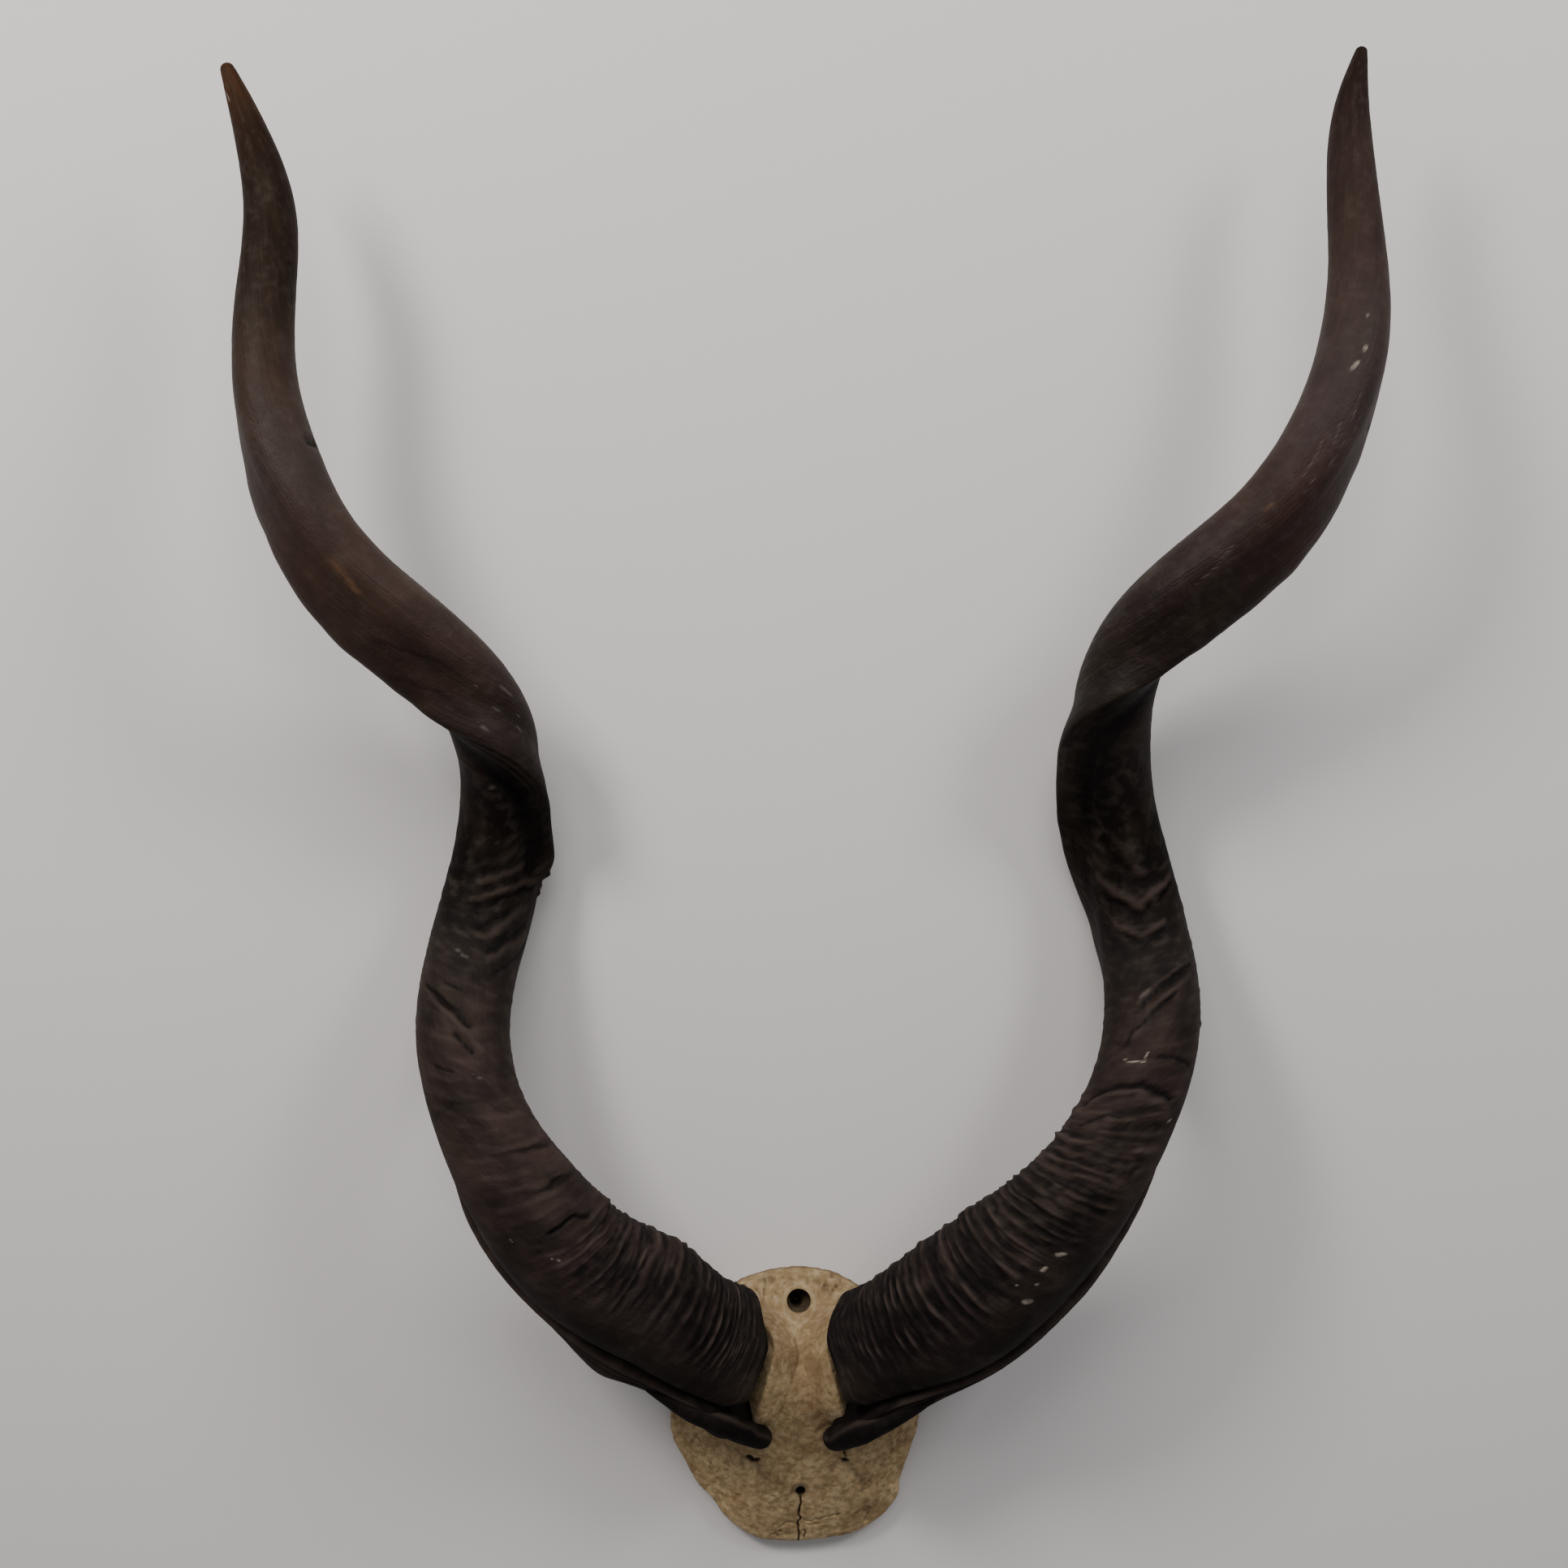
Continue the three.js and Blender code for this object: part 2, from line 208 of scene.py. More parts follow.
# %% Grid to mesh
def shell(name, rows, start, end, marks=None, turn=False):
    """A closed mesh from rows of points (rows, sides, 3) in mm, each row a ring, with one end
    point before the first row and one after the last. marks are numbers per point, kept as
    attributes: each is a (rows, sides) or a (rows, sides, 3) array. turn reverses the faces."""
    count, sides = rows.shape[:2]
    points = np.vstack([np.reshape(start, (1, 3)), rows.reshape(-1, 3), np.reshape(end, (1, 3))])
    ring = np.arange(count * sides).reshape(count, sides) + 1
    nxt = np.roll(ring, -1, axis=1)
    quads = np.stack([ring[:-1], nxt[:-1], nxt[1:], ring[1:]], -1).reshape(-1, 4)
    first = np.stack([np.zeros(sides, int), nxt[0], ring[0]], -1)
    last = np.stack([ring[-1], nxt[-1], np.full(sides, len(points) - 1)], -1)
    if turn:
        quads, first, last = quads[:, ::-1], first[:, ::-1], last[:, ::-1]
    loops = np.concatenate([quads.ravel(), first.ravel(), last.ravel()])
    sizes = np.concatenate([np.full(len(quads), 4), np.full(2 * sides, 3)])
    mesh = bpy.data.meshes.new(name)
    mesh.vertices.add(len(points))
    mesh.vertices.foreach_set("co", (points * MM).ravel())
    mesh.loops.add(len(loops))
    mesh.loops.foreach_set("vertex_index", loops)
    mesh.polygons.add(len(sizes))
    mesh.polygons.foreach_set("loop_start", np.concatenate([[0], np.cumsum(sizes)[:-1]]))
    mesh.update(calc_edges=True)
    mesh.validate()
    mesh.polygons.foreach_set("use_smooth", np.ones(len(mesh.polygons), bool))
    for key, values in (marks or {}).items():
        body = values.reshape(count * sides, *values.shape[2:])
        flat = np.concatenate([[values[0].mean(axis=0)], body, [values[-1].mean(axis=0)]])
        kind, field = ("FLOAT_VECTOR", "vector") if flat.ndim == 2 else ("FLOAT", "value")
        mesh.attributes.new(key, kind, "POINT").data.foreach_set(field, flat.ravel())
    thing = bpy.data.objects.new(name, mesh)
    bpy.context.scene.collection.objects.link(thing)
    return thing


# %% Lines on a surface
def near(u, v, path, width):
    """exp(-(d/width)^2) of the distance d from each point (u, v) to a line through the corners
    of path: how much of a scratch, groove or crack that runs along it the point feels."""
    best = np.full(np.shape(u), 1e9)
    for (u0, v0), (u1, v1) in zip(path[:-1], path[1:]):
        du, dv = u1 - u0, v1 - v0
        part = np.clip(((u - u0) * du + (v - v0) * dv) / (du * du + dv * dv), 0, 1)
        best = np.minimum(best, np.hypot(u - u0 - part * du, v - v0 - part * dv))
    return bell(best / width)


# %% [markdown]
# ## The skull plate
#
# The plate is the frontal bone: the forehead between the two horns and a little of the brow below
# them. Its outline is a saw cut, so it is a closed curve through a few corners. The forehead is a
# height above the flat back, highest in the middle, with a saddle between the horns and on either
# side a collar, the stump of the bony core on which the sheath of the horn sits.

# %% Shape of the bone
OUTLINE = np.array([
    [2, -100], [27, -97], [41, -92], [54, -83], [64, -70], [65, -60], [72, -40], [77, -22],
    [76, 4], [68, 32], [55, 52], [38, 65], [20, 74], [-1, 77], [-20, 75], [-40, 68],
    [-56, 54], [-70, 34], [-79, 10], [-84, -16], [-83, -32], [-76, -46], [-67, -62], [-57, -73],
    [-46, -87], [-28, -98], [-12, -100]], float)
PLATE_MIDDLE = (0.0, -8.0)
UPPER_HOLE = (-0.9, 60.2)   # the countersunk screw hole
LOWER_HOLE = (0.1, -58.4)   # the plain one
EDGE, CROWN, CROWN_TILT, SADDLE, PEDICLE = 9.0, 36.0, 0.12, 13.0, 33.5


def closed_curve(corners, count):
    """A closed curve through the corners: between b and c, with a before and d after, a point is
    half of 2b + (c - a) f + (2a - 5b + 4c - d) f^2 + (3b - a - 3c + d) f^3."""
    place = np.arange(count) / count * len(corners)
    i = np.floor(place).astype(int)
    f = (place - i)[:, None]
    a, b, c, d = (corners[(i + k) % len(corners)] for k in (-1, 0, 1, 2))
    third = 3 * b - a - 3 * c + d
    return 0.5 * (2 * b + (c - a) * f + (2 * a - 5 * b + 4 * c - d) * f ** 2 + third * f ** 3)


rim_points = closed_curve(OUTLINE, 1080) - PLATE_MIDDLE
RIM_ANGLE = np.arctan2(rim_points[:, 1], rim_points[:, 0])
RIM_REACH = np.hypot(rim_points[:, 0], rim_points[:, 1])


def edge_reach(azimuth):
    """Distance from the middle of the plate to its sawn edge, in the direction azimuth."""
    return np.interp(azimuth, RIM_ANGLE, RIM_REACH, period=2 * math.pi)


def from_hole(x, y, hole):
    """Distance in mm from the middle of a screw hole, seen from the front."""
    return np.hypot(x - hole[0], y - hole[1])


def bone_height(x, y):
    """Height in mm of the smooth bone above the sawn back, and u, which is 0 in the middle of the
    plate and 1 at its edge. The dome falls as 1 - u^2.2; the collars rise to a ridge under the
    rim of each horn and fall away on both sides of it."""
    u = np.hypot(x - PLATE_MIDDLE[0], y - PLATE_MIDDLE[1])
    u = u / edge_reach(np.arctan2(y - PLATE_MIDDLE[1], x - PLATE_MIDDLE[0]))
    v = np.clip(u, 0, 1)
    height = EDGE + (CROWN + CROWN_TILT * y) * (1 - v ** 2.2)
    height = height + SADDLE * bell((y - 15) / 36) * bell(x / 36) * (1 - v ** 4)
    for sign in (-1, 1):
        dx, dy = sign * x - 33, y - 29
        along, across = dx * 0.85 + dy * 0.527, dx * 0.527 - dy * 0.85
        rim = -15 - 0.28 * across + 11 * smooth(-across, 19, 36)
        ridge = 42 + 0.25 * rim + np.sqrt(np.maximum(PEDICLE ** 2 - across ** 2, 0))
        collar = ridge - np.maximum(rim - along, 0) - 1.3 * np.maximum(along - rim - 2, 0)
        inside = (1 - smooth(np.abs(across), 26, 36)) * (1 - v ** 8)
        height = np.maximum(height, height + (collar - height) * inside)
    return height, u


# %% [markdown]
# ### Marks in the bone
#
# Bone keeps the paths of what grew through it. Two small openings let nerves and vessels out of
# the skull, and each has a shallow channel running down from it. The two frontal bones meet in a
# seam, which has sprung open below the lower screw hole. Where the saw or a knife broke into the
# bone the spongy inside shows as pores. Each mark is a line with a depth and a half width.

# %% Marks
SCARS = [
    (4.0, 0.6, [(0.1, -60), (-0.3, -71), (-0.1, -78), (-1.1, -85), (-0.6, -97), (-0.4, -104)]),
    (1.8, 0.6, [(2.9, -90), (3.3, -98)]),
    (3.6, 1.5, [(-33, -36), (-30, -36.6), (-27.5, -36)]),
    (1.1, 3.0, [(-30, -38), (-26, -44), (-23, -52), (-22, -60)]),
    (3.6, 1.6, [(27.2, -36.4), (29.2, -37.6)]),
    (2.2, 0.7, [(28.3, -26), (28, -36)]),
    (1.1, 3.2, [(30, -39), (34.4, -46.9), (38.5, -53.6), (41, -60)]),
    (0.7, 0.7, [(-23.2, -44), (-20, -48.4), (-18.7, -56)]),
    (0.7, 0.7, [(-19.3, -40), (-15.4, -45), (-13.5, -54), (-16, -60.5)]),
    (0.9, 0.7, [(1.5, -81), (7.4, -83.3), (13.9, -80.3), (24.4, -78.2)]),
    (0.7, 0.6, [(2.5, -85), (9, -86.5), (17, -84.5)]),
    (0.8, 0.7, [(-13.5, -86.7), (-7, -83.3), (-1.7, -85.7)]),
    (0.9, 0.6, [(-74.8, -38.2), (-70, -33), (-65.7, -25.4)]),
    (1.2, 1.5, [(58.4, -38.1), (60.5, -34.8)]),
    (1.0, 1.1, [(60.5, -35), (65.1, -28.4)]),
    (1.3, 1.8, [(43.5, -76), (42.6, -84)]),
    (0.8, 0.9, [(36, -79), (41, -77)]),
    (0.5, 0.7, [(-9, 41), (0, 42), (7, 41.5)]),
    (1.4, 2.0, [(-20, 72.5), (-18, 71)]),
    (1.2, 1.6, [(-25, 72), (-24, 71)]),
    (1.3, 1.8, [(-5.5, 72.5), (-4.5, 70)]),
    (1.2, 1.5, [(4, 73), (4.3, 70)]),
    (1.6, 2.2, [(17.5, 69.5), (16, 67)]),
    (1.3, 1.4, [(21, 65.5), (20, 64)]),
    (1.0, 1.2, [(11.5, 64.8), (12, 63.8)]),
    (1.0, 1.4, [(-15.6, 65), (-14.8, 64)]),
    (1.1, 1.5, [(10, 71.5), (12, 70)]),
]


def bone_marks(x, y):
    """The uneven surface of the bone in mm (lumps, grains, pores near the top edge and along the brow,
    and the lines above), and how dark each point is painted: as shade in the lines, the deeper the
    darker, and darker in the pores."""
    flat = np.stack([x, y, np.zeros_like(x)], -1)
    wobble = 1.1 * noise(flat, 3.1, 71), 1.1 * noise(flat, 3.1, 72)
    dark = np.zeros_like(x)
    cut = np.zeros_like(x)
    # painted shade: the deeper a line, the darker it is painted
    for depth, width, path in SCARS:
        mark = near(x + wobble[0], y + wobble[1], path, width)
        cut = np.maximum(cut, depth * mark)
        dark = np.maximum(dark, mark * min(depth / 3.2, 1))
    rough = bell((y - 69) / 8) * (bell((x + 24) / 13) + bell((x - 21) / 12) + 0.5 * bell(x / 12))
    rough = np.maximum(rough, 0.7 * bell((y + 92) / 6) * bell((x + 14) / 11))
    rough = np.maximum(rough, 0.45 * bell((y + 60) / 22) * smooth(np.abs(x), 30, 55))
    pitted = noise(flat, 2.6, 73) + 0.4 * noise(flat, 1.3, 74)
    pores = smooth(pitted, 0.66 - 0.45 * rough, 1.05 - 0.35 * rough)
    relief = 0.9 * layered(flat, 24, 2, 60) + 0.45 * layered(flat, 6, 2, 62)
    relief = relief + 0.2 * noise(flat, 2.6, 64) + (0.7 * rough) * noise(flat, 4.5, 65)
    relief = relief - (0.35 + 1.5 * rough) * pores
    relief = relief - 0.8 * (1 - smooth(from_hole(x, y, LOWER_HOLE), 4.8, 7.0))
    relief = relief + 0.5 * bell((from_hole(x, y, UPPER_HOLE) - 9.8) / 1.4)
    return relief - cut, np.maximum(dark, pores * (0.2 + 0.3 * rough))


# %% Plate mesh
PLATE_SIDES = 640
azimuth = (np.arange(PLATE_SIDES) / PLATE_SIDES * 2 * math.pi)[None, :]
back = np.array([[0.3, 0], [0.6, 0], [0.85, 0], [0.96, 0], [0.985, 0]])
sawn = np.array([[0.995, 0.5], [1, 1.5], [1, 2.7], [1, 3.9], [1, 5.1], [1, 6.2], [0.998, 7.1]])
top = np.concatenate([[0.995, 0.99, 0.984], np.linspace(0.976, 0.01, 118)])
profile = np.concatenate([back, sawn, np.stack([top, np.full(len(top), -1.0)], -1)])
u, fixed = profile[:, :1], profile[:, 1:]
tooth = noise(np.stack([azimuth * 90, 0 * azimuth, 0 * azimuth], -1) + fixed[..., None] * 2, 3.0, 80)
reach = edge_reach(azimuth) + 0.45 * tooth * (u > 0.9) * np.where(fixed < 0, smooth(u, 0.9, 1), 1)
px = PLATE_MIDDLE[0] + u * reach * np.cos(azimuth)
py = PLATE_MIDDLE[1] + u * reach * np.sin(azimuth)
dome, _ = bone_height(px, py)
relief, _ = bone_marks(px, py)
bevel = 1.6 * bell((1 - u) / 0.012)
pz = np.where(fixed < 0, dome + relief * smooth(1 - u, 0, 0.06) - bevel, fixed)
middle_x, middle_y = np.array(PLATE_MIDDLE)[:, None]
centre_top = (bone_height(middle_x, middle_y)[0] + bone_marks(middle_x, middle_y)[0])[0]
plate = shell("skull_plate_bone", np.stack([px, py, pz], -1),
              (*PLATE_MIDDLE, 0), (*PLATE_MIDDLE, centre_top))
print("skull plate:", len(plate.data.polygons), "faces,",
      [round(v * 1000) for v in plate.dimensions], "mm")


# %% [markdown]
# ### Screw holes
#
# Two holes were drilled through the plate to hang the pair on a wall. The upper one is
# countersunk. Each is a turned solid, cut out of the bone with a boolean; the drill for the upper
# one leant a little, so its bore comes out low and to the left in the countersink.

# %% Cut the holes
LEAN_TOP = 18.5
LEAN_DEPTH = 8.0


def drill(place, lean, narrow, profile):
    """A lathe solid about the z axis from a profile of (radius, z) in mm, its circles pressed
    together along y by the factor narrow where the bone slopes. Below LEAN_TOP its axis leans by
    lean mm of x and y per mm, for LEAN_DEPTH mm."""
    turns = np.arange(48) / 48 * 2 * math.pi
    profile = np.array(profile, float)
    r, z = profile[:, :1], profile[:, 1:]
    down = np.clip(z - LEAN_TOP, -LEAN_DEPTH, 0)
    x = place[0] + r * np.cos(turns) + lean[0] * down
    y = place[1] + narrow * r * np.sin(turns) + lean[1] * down
    rows = np.stack([x, y, z + 0 * turns], -1)
    return shell("drill", rows, rows[0].mean(0), rows[-1].mean(0))


def cut(thing, cutter):
    """Takes the cutter out of the thing for good, and removes the cutter."""
    step = thing.modifiers.new("cut", "BOOLEAN")
    step.operation, step.solver, step.object = "DIFFERENCE", "EXACT", cutter
    bpy.context.view_layer.update()
    solid = bpy.data.meshes.new_from_object(thing.evaluated_get(bpy.context.evaluated_depsgraph_get()))
    thing.modifiers.clear()
    old, thing.data = thing.data, solid
    bpy.data.meshes.remove(old)
    bpy.data.objects.remove(cutter)


# (radius, z) of the countersink and its bore, with rings close enough together for the painted shade
sink = [(2.5, -12), (2.5, 10.5), (4.2, 12.5), (6, 14.5), (7.2, 16.5)]
sink += [(7.7, z) for z in (18.5, 22, 26, 29, 32, 60)]
cut(plate, drill((-0.9, 61.4), (0.25, 0.55), 0.8, sink))
cut(plate, drill(LOWER_HOLE, (0, 0), 1.0, [(2.9, -12), (2.9, 60)]))
plate.data.polygons.foreach_set("use_smooth", np.ones(len(plate.data.polygons), bool))
print("after drilling:", len(plate.data.polygons), "faces")

# %% [markdown]
# ## The horns
#
# A horn is a tube carried along a corkscrew. It is not round: a keel, a thick rib, starts at the
# skull as a finger that lies on the bone, and winds once and a half round the horn on its way up,
# always on the outside of the twist. Where the keel crosses the front, halfway up, it hangs over
# a hollow, which is painted dark as shade.
#
# The centre line is a smooth spline through a few stations, and each station also says how
# thick the horn is there, how high and wide the keel stands, and which way it points. The rows
# below are the horn's plan, in millimetres and degrees.

# %% Stations of the horns
# x outward from the middle line, y, z of the centre; radius of the round body; height of the
# keel; half width of the keel in degrees; turn of the keel about the centre line in degrees.
RIGHT_ROWS = np.array([
    [-23.7, 7.8, 38, 38.4, 19.2, 14, 68.3],
    [5.7, 21.3, 41, 40.8, 11.6, 14, 82.2],
    [34.1, 29, 46, 42.7, 4.3, 14, 60.3],
    [63.6, 47.4, 57, 39.1, 3, 16, 69.3],
    [93, 71.6, 73, 41.8, 6.9, 17, 94.7],
    [129, 104.9, 89, 39.8, 7.5, 18, 102],
    [167, 147.7, 98, 33.2, 11, 20, 119],
    [197.1, 194.5, 92, 29.4, 10, 22, 142.5],
    [214, 236, 74, 29.6, 10.1, 22, 172.3],
    [218.1, 279, 47, 29.3, 10, 22, 205.2],
    [211.3, 328.9, 28, 27.5, 10.8, 22, 228],
    [198.3, 383.9, 33, 26.3, 8.9, 22, 270],
    [193.8, 437, 55, 25.5, 7.5, 22, 308],
    [204.9, 480.5, 79, 23.3, 7.5, 22, 406],
    [237.4, 516.6, 101, 23.2, 11.4, 24, 449.8],
    [277.6, 552.5, 112, 23.1, 10.1, 26, 465.4],
    [309.6, 599.7, 112, 22.3, 8.1, 26, 483],
    [329.4, 654.9, 104, 20.9, 5, 28, 504.7],
    [335, 709, 93, 17.4, 3, 30, 530],
    [334, 763, 85, 14.5, 2, 30, 550],
    [336, 807, 80, 10, 1, 30, 565],
    [343, 843, 78, 2.6, 0, 30, 580],
])
LEFT_ROWS = np.array([
    [-19.3, 6.6, 38, 34.2, 16.6, 14, 58.3],
    [11.6, 16.4, 41, 37, 10, 14, 67.3],
    [37.1, 29.9, 46, 42.4, 4.7, 14, 63],
    [64.6, 48, 57, 38.6, 3, 16, 74.3],
    [90.3, 71.7, 73, 40, 10.7, 17, 85.1],
    [129.3, 101.5, 89, 38, 5.4, 18, 104.8],
    [166, 144.7, 98, 34.4, 11, 20, 121.2],
    [193.4, 192.3, 92, 29, 10, 22, 150],
    [207.1, 237, 74, 29, 10.1, 22, 176.2],
    [206.2, 281.1, 47, 29.3, 9.6, 22, 205.1],
    [198.5, 326.4, 28, 28, 13.3, 22, 252],
    [191.5, 375.4, 34, 24.8, 7.6, 22, 268],
    [190.4, 421.2, 55, 26.3, 7.6, 22, 339.5],
    [213.3, 465.8, 80, 23.6, 10.2, 22, 428.8],
    [248.1, 497.9, 103, 23.4, 10.9, 24, 443.4],
    [281.4, 536, 114, 21.4, 9.8, 26, 458.1],
    [305.1, 581, 112, 21.4, 8.1, 26, 477.8],
    [319.9, 633, 104, 19.6, 5, 28, 505.1],
    [322, 686, 95, 17.9, 3, 30, 530],
    [321, 738, 90, 15.7, 2, 30, 550],
    [332, 785, 89, 10.5, 1, 30, 565],
    [348, 828, 90, 2.6, 0, 30, 580],
])
MOUTH = 48.0          # distance along the centre line to the middle of the sheath's rim
MOUTH_SLANT = 9.0     # the rim's lower side lies nearer the middle line,
MOUTH_ROUND = 17.0    # its upper corner is rounded off,
MOUTH_BACK = 13.0     # and it draws back on the forehead side of the keel,
MOUTH_BACK_AT = -62.0  # at this angle from it
MOUTH_NICK = 18.0     # most of all in the corner where the finger starts
MOUTH_NICK_AT = -32.0
FINGER_AT = -12.0     # here the keel runs on past the rim as a finger on the bone
CLEFT = 4.55          # depth of the groove that sets the finger off from the body
CLEFT_AT = -33.0      # on the forehead side of the keel, in degrees from it
RINGED = 330.0        # length of horn that carries growth rings
RING_HEIGHT = 1.9
HORN_WRAP = 26.0      # radius of the cylinder that the noise on a horn is wrapped round
FINGER_WRAP = 8.0     # and of the one for its finger
SHEAR = 50.0          # the twist pulls the rings into a V, this deep at the most
SHEAR_LOW = 145.0     # the V points to the skull on this side, in degrees from the keel


# %% The spline
def knots(rows):
    """Distance of each station along the straight lines between the stations."""
    return np.concatenate([[0], np.cumsum(np.linalg.norm(np.diff(rows[:, :3], axis=0), axis=1))])


def spline(rows, s):
    """Natural cubic spline through the rows at distances s: between two stations the value is the
    straight blend plus (a^3 - a) and (b^3 - b) times the bends at the two ends, and the bends are
    those that leave no kink, with none at the two ends of the horn."""
    at = knots(rows)
    h = np.diff(at)
    n = len(rows)
    system = np.eye(n)
    rise = np.zeros_like(rows)
    inner = np.arange(1, n - 1)
    system[inner, inner - 1] = h[:-1]
    system[inner, inner] = 2 * (h[:-1] + h[1:])
    system[inner, inner + 1] = h[1:]
    slope = np.diff(rows, axis=0) / h[:, None]
    rise[1:-1] = 6 * np.diff(slope, axis=0)
    bend = np.linalg.solve(system, rise)
    j = np.clip(np.searchsorted(at, s, side="right") - 1, 0, n - 2)
    a = ((at[j + 1] - s) / h[j])[..., None]
    b = 1 - a
    curve = (a ** 3 - a) * bend[j] + (b ** 3 - b) * bend[j + 1]
    return a * rows[j] + b * rows[j + 1] + curve * (h[j] ** 2)[..., None] / 6


def across(along):
    """The direction nearest to the viewer at right angles to each direction along, and the one
    square to both: z less its part along the curve, made one long, and a cross product."""
    front = np.array([0, 0, 1.0]) - along * along[..., 2:3]
    front /= np.linalg.norm(front, axis=-1, keepdims=True)
    return front, np.cross(along, front)


def spoke(front, side, degrees):
    """The direction at that many degrees from front towards side."""
    theta = np.radians(degrees)[..., None]
    return front * np.cos(theta) + side * np.sin(theta)


def wrapped(t, angle, around):
    """Skin coordinates in mm, wrapped round a cylinder of radius around, so that noise worked out
    from them has no seam."""
    wrap = np.radians(angle)
    return np.stack([t, around * np.cos(wrap), around * np.sin(wrap)], -1)


print("horns measure, base to tip along the curve, mm:",
      round(knots(RIGHT_ROWS)[-1] - MOUTH), round(knots(LEFT_ROWS)[-1] - MOUTH))


# %% [markdown]
# ### The horn's skin
#
# The surface has two parameters: t, the growth line, which counts millimetres from the rim at
# the skull to the tip, and the angle round the horn, from the keel. A growth line is where the
# rim once was, so near the skull it follows the askew rim, and further up the twist has pulled
# it into a V. On top of the smooth body lie the keel, the two hollows beside it, the rings, and
# the fibres that run the length of the horn.

# %% Grooves, ledges and chips
# rough_to: t where the strong rings end. rim_back: mm by which the rim draws back on the forehead.
# torn_at: t of a tear in the keel, far off the horn where there is none. blunt: mm of extra
# radius at the tip. strands: how clear the strands are where the keel crosses the front.
# Each line: depth in mm (below 0 it stands out), half width in mm, corners as (t, angle).
# Each ledge: t where it starts, its middle angle, its half width in degrees, height in mm.
# Each spot or streak of colour: half width in mm, corners as (t, angle). The dark ones are
# painted shade, along the deepest grooves and under the crossing.
RIGHT_MARKS = {
    "rough_to": 262, "rim_back": 0.0, "torn_at": -1000.0, "blunt": 0.5, "strands": 0.2,
    "lines": [
        (2.4, 1.6, [(359, 202), (355, 185), (350, 172), (343, 160), (334, 152)]),
        (-1.4, 1.9, [(364, 202), (360, 185), (355, 172), (348, 160), (339, 152)]),
        (-1.2, 2.2, [(352, 202), (345, 185), (336, 170), (316, 159)]),
        (1.6, 1.5, [(342, 187), (332, 171), (320, 158), (310, 157)]),
        (1.9, 1.5, [(417, 85), (413, 115), (407, 138), (413, 153), (417, 168), (421, 182)]),
        (-1.2, 3.2, [(427, 71), (421, 107), (414, 136), (420, 151), (423, 169), (427, 180)]),
        (1.6, 1.4, [(391, 117), (383, 142), (392, 165)]),
        (-1.1, 2.6, [(399, 105), (390, 139), (399, 164)]),
        (0.6, 2.0, [(450, 74), (442, 102), (427, 139)]),
        (-0.5, 2.8, [(458, 74), (450, 102), (435, 139)]),
        (0.6, 1.8, [(470, 110), (462, 135), (455, 160)]),
        (0.9, 1.1, [(299, 199), (297, 215), (288, 242)]),
        (1.7, 1.6, [(266, 150), (275, 161), (280, 173), (281, 187), (282, 198), (276, 216), (268, 240)]),
        (-1.0, 2.4, [(260, 150), (269, 161), (274, 173), (275, 187), (276, 198), (270, 216), (262, 240)]),
        (0.9, 1.2, [(250, 167), (259, 187), (259, 201)]),
        (-1.0, 1.8, [(312, 236), (312, 248)]),
        (0.9, 2.0, [(755, -50), (755, -38)]),
        (0.3, 0.6, [(655, -106), (640, -92), (626, -87)]),
        (0.3, 0.6, [(613, -115), (611, -89)]),
    ],
    "ledges": [
        (141, 175, 34, 3.2), (118, -165, 26, 1.4), (226, -175, 30, 0.3), (190, -150, 26, 0.9),
        (60, -170, 26, 0.9), (84, -168, 24, 0.8)],
    "pale": [
        (1.5, [(171, -102), (173, -100)]), (1.1, [(160, -99), (162, -99)]),
        (1.8, [(141, -86), (143, -84)]), (0.6, [(62, -127), (63, -127)]),
        (0.5, [(145, -103), (146, -103)]), (0.7, [(152, -92), (153, -91)]),
        (0.6, [(33, -52), (34, -52)]), (1.4, [(254, -106), (255, -104)]),
        (0.8, [(301, 162), (298, 171), (297, 188), (304, 185)]), (1.5, [(808, -150), (809, -149)]),
        (2.0, [(788, -138), (790, -137)]), (1.9, [(774, -145), (779, -141)])],
    "amber": [(2.0, [(680, -120), (684, -119)])],
    "scuff": [
        (0.5, [(655, -106), (640, -92), (626, -87)]), (2.0, [(345, 153), (348, 156)]),
        (0.5, [(765, -118), (748, -108)]), (0.4, [(742, -120), (722, -108)]),
        (0.4, [(735, -100), (718, -96)]), (0.5, [(728, -128), (706, -116)]),
        (0.4, [(752, -98), (738, -92)]), (0.4, [(712, -104), (700, -100)])],
    # painted shade along the deepest groove and under the crossing
    "dark": [(4.0, [(356, 195), (350, 172)]), (9.0, [(470, 60), (520, 52), (560, 46)])],
}
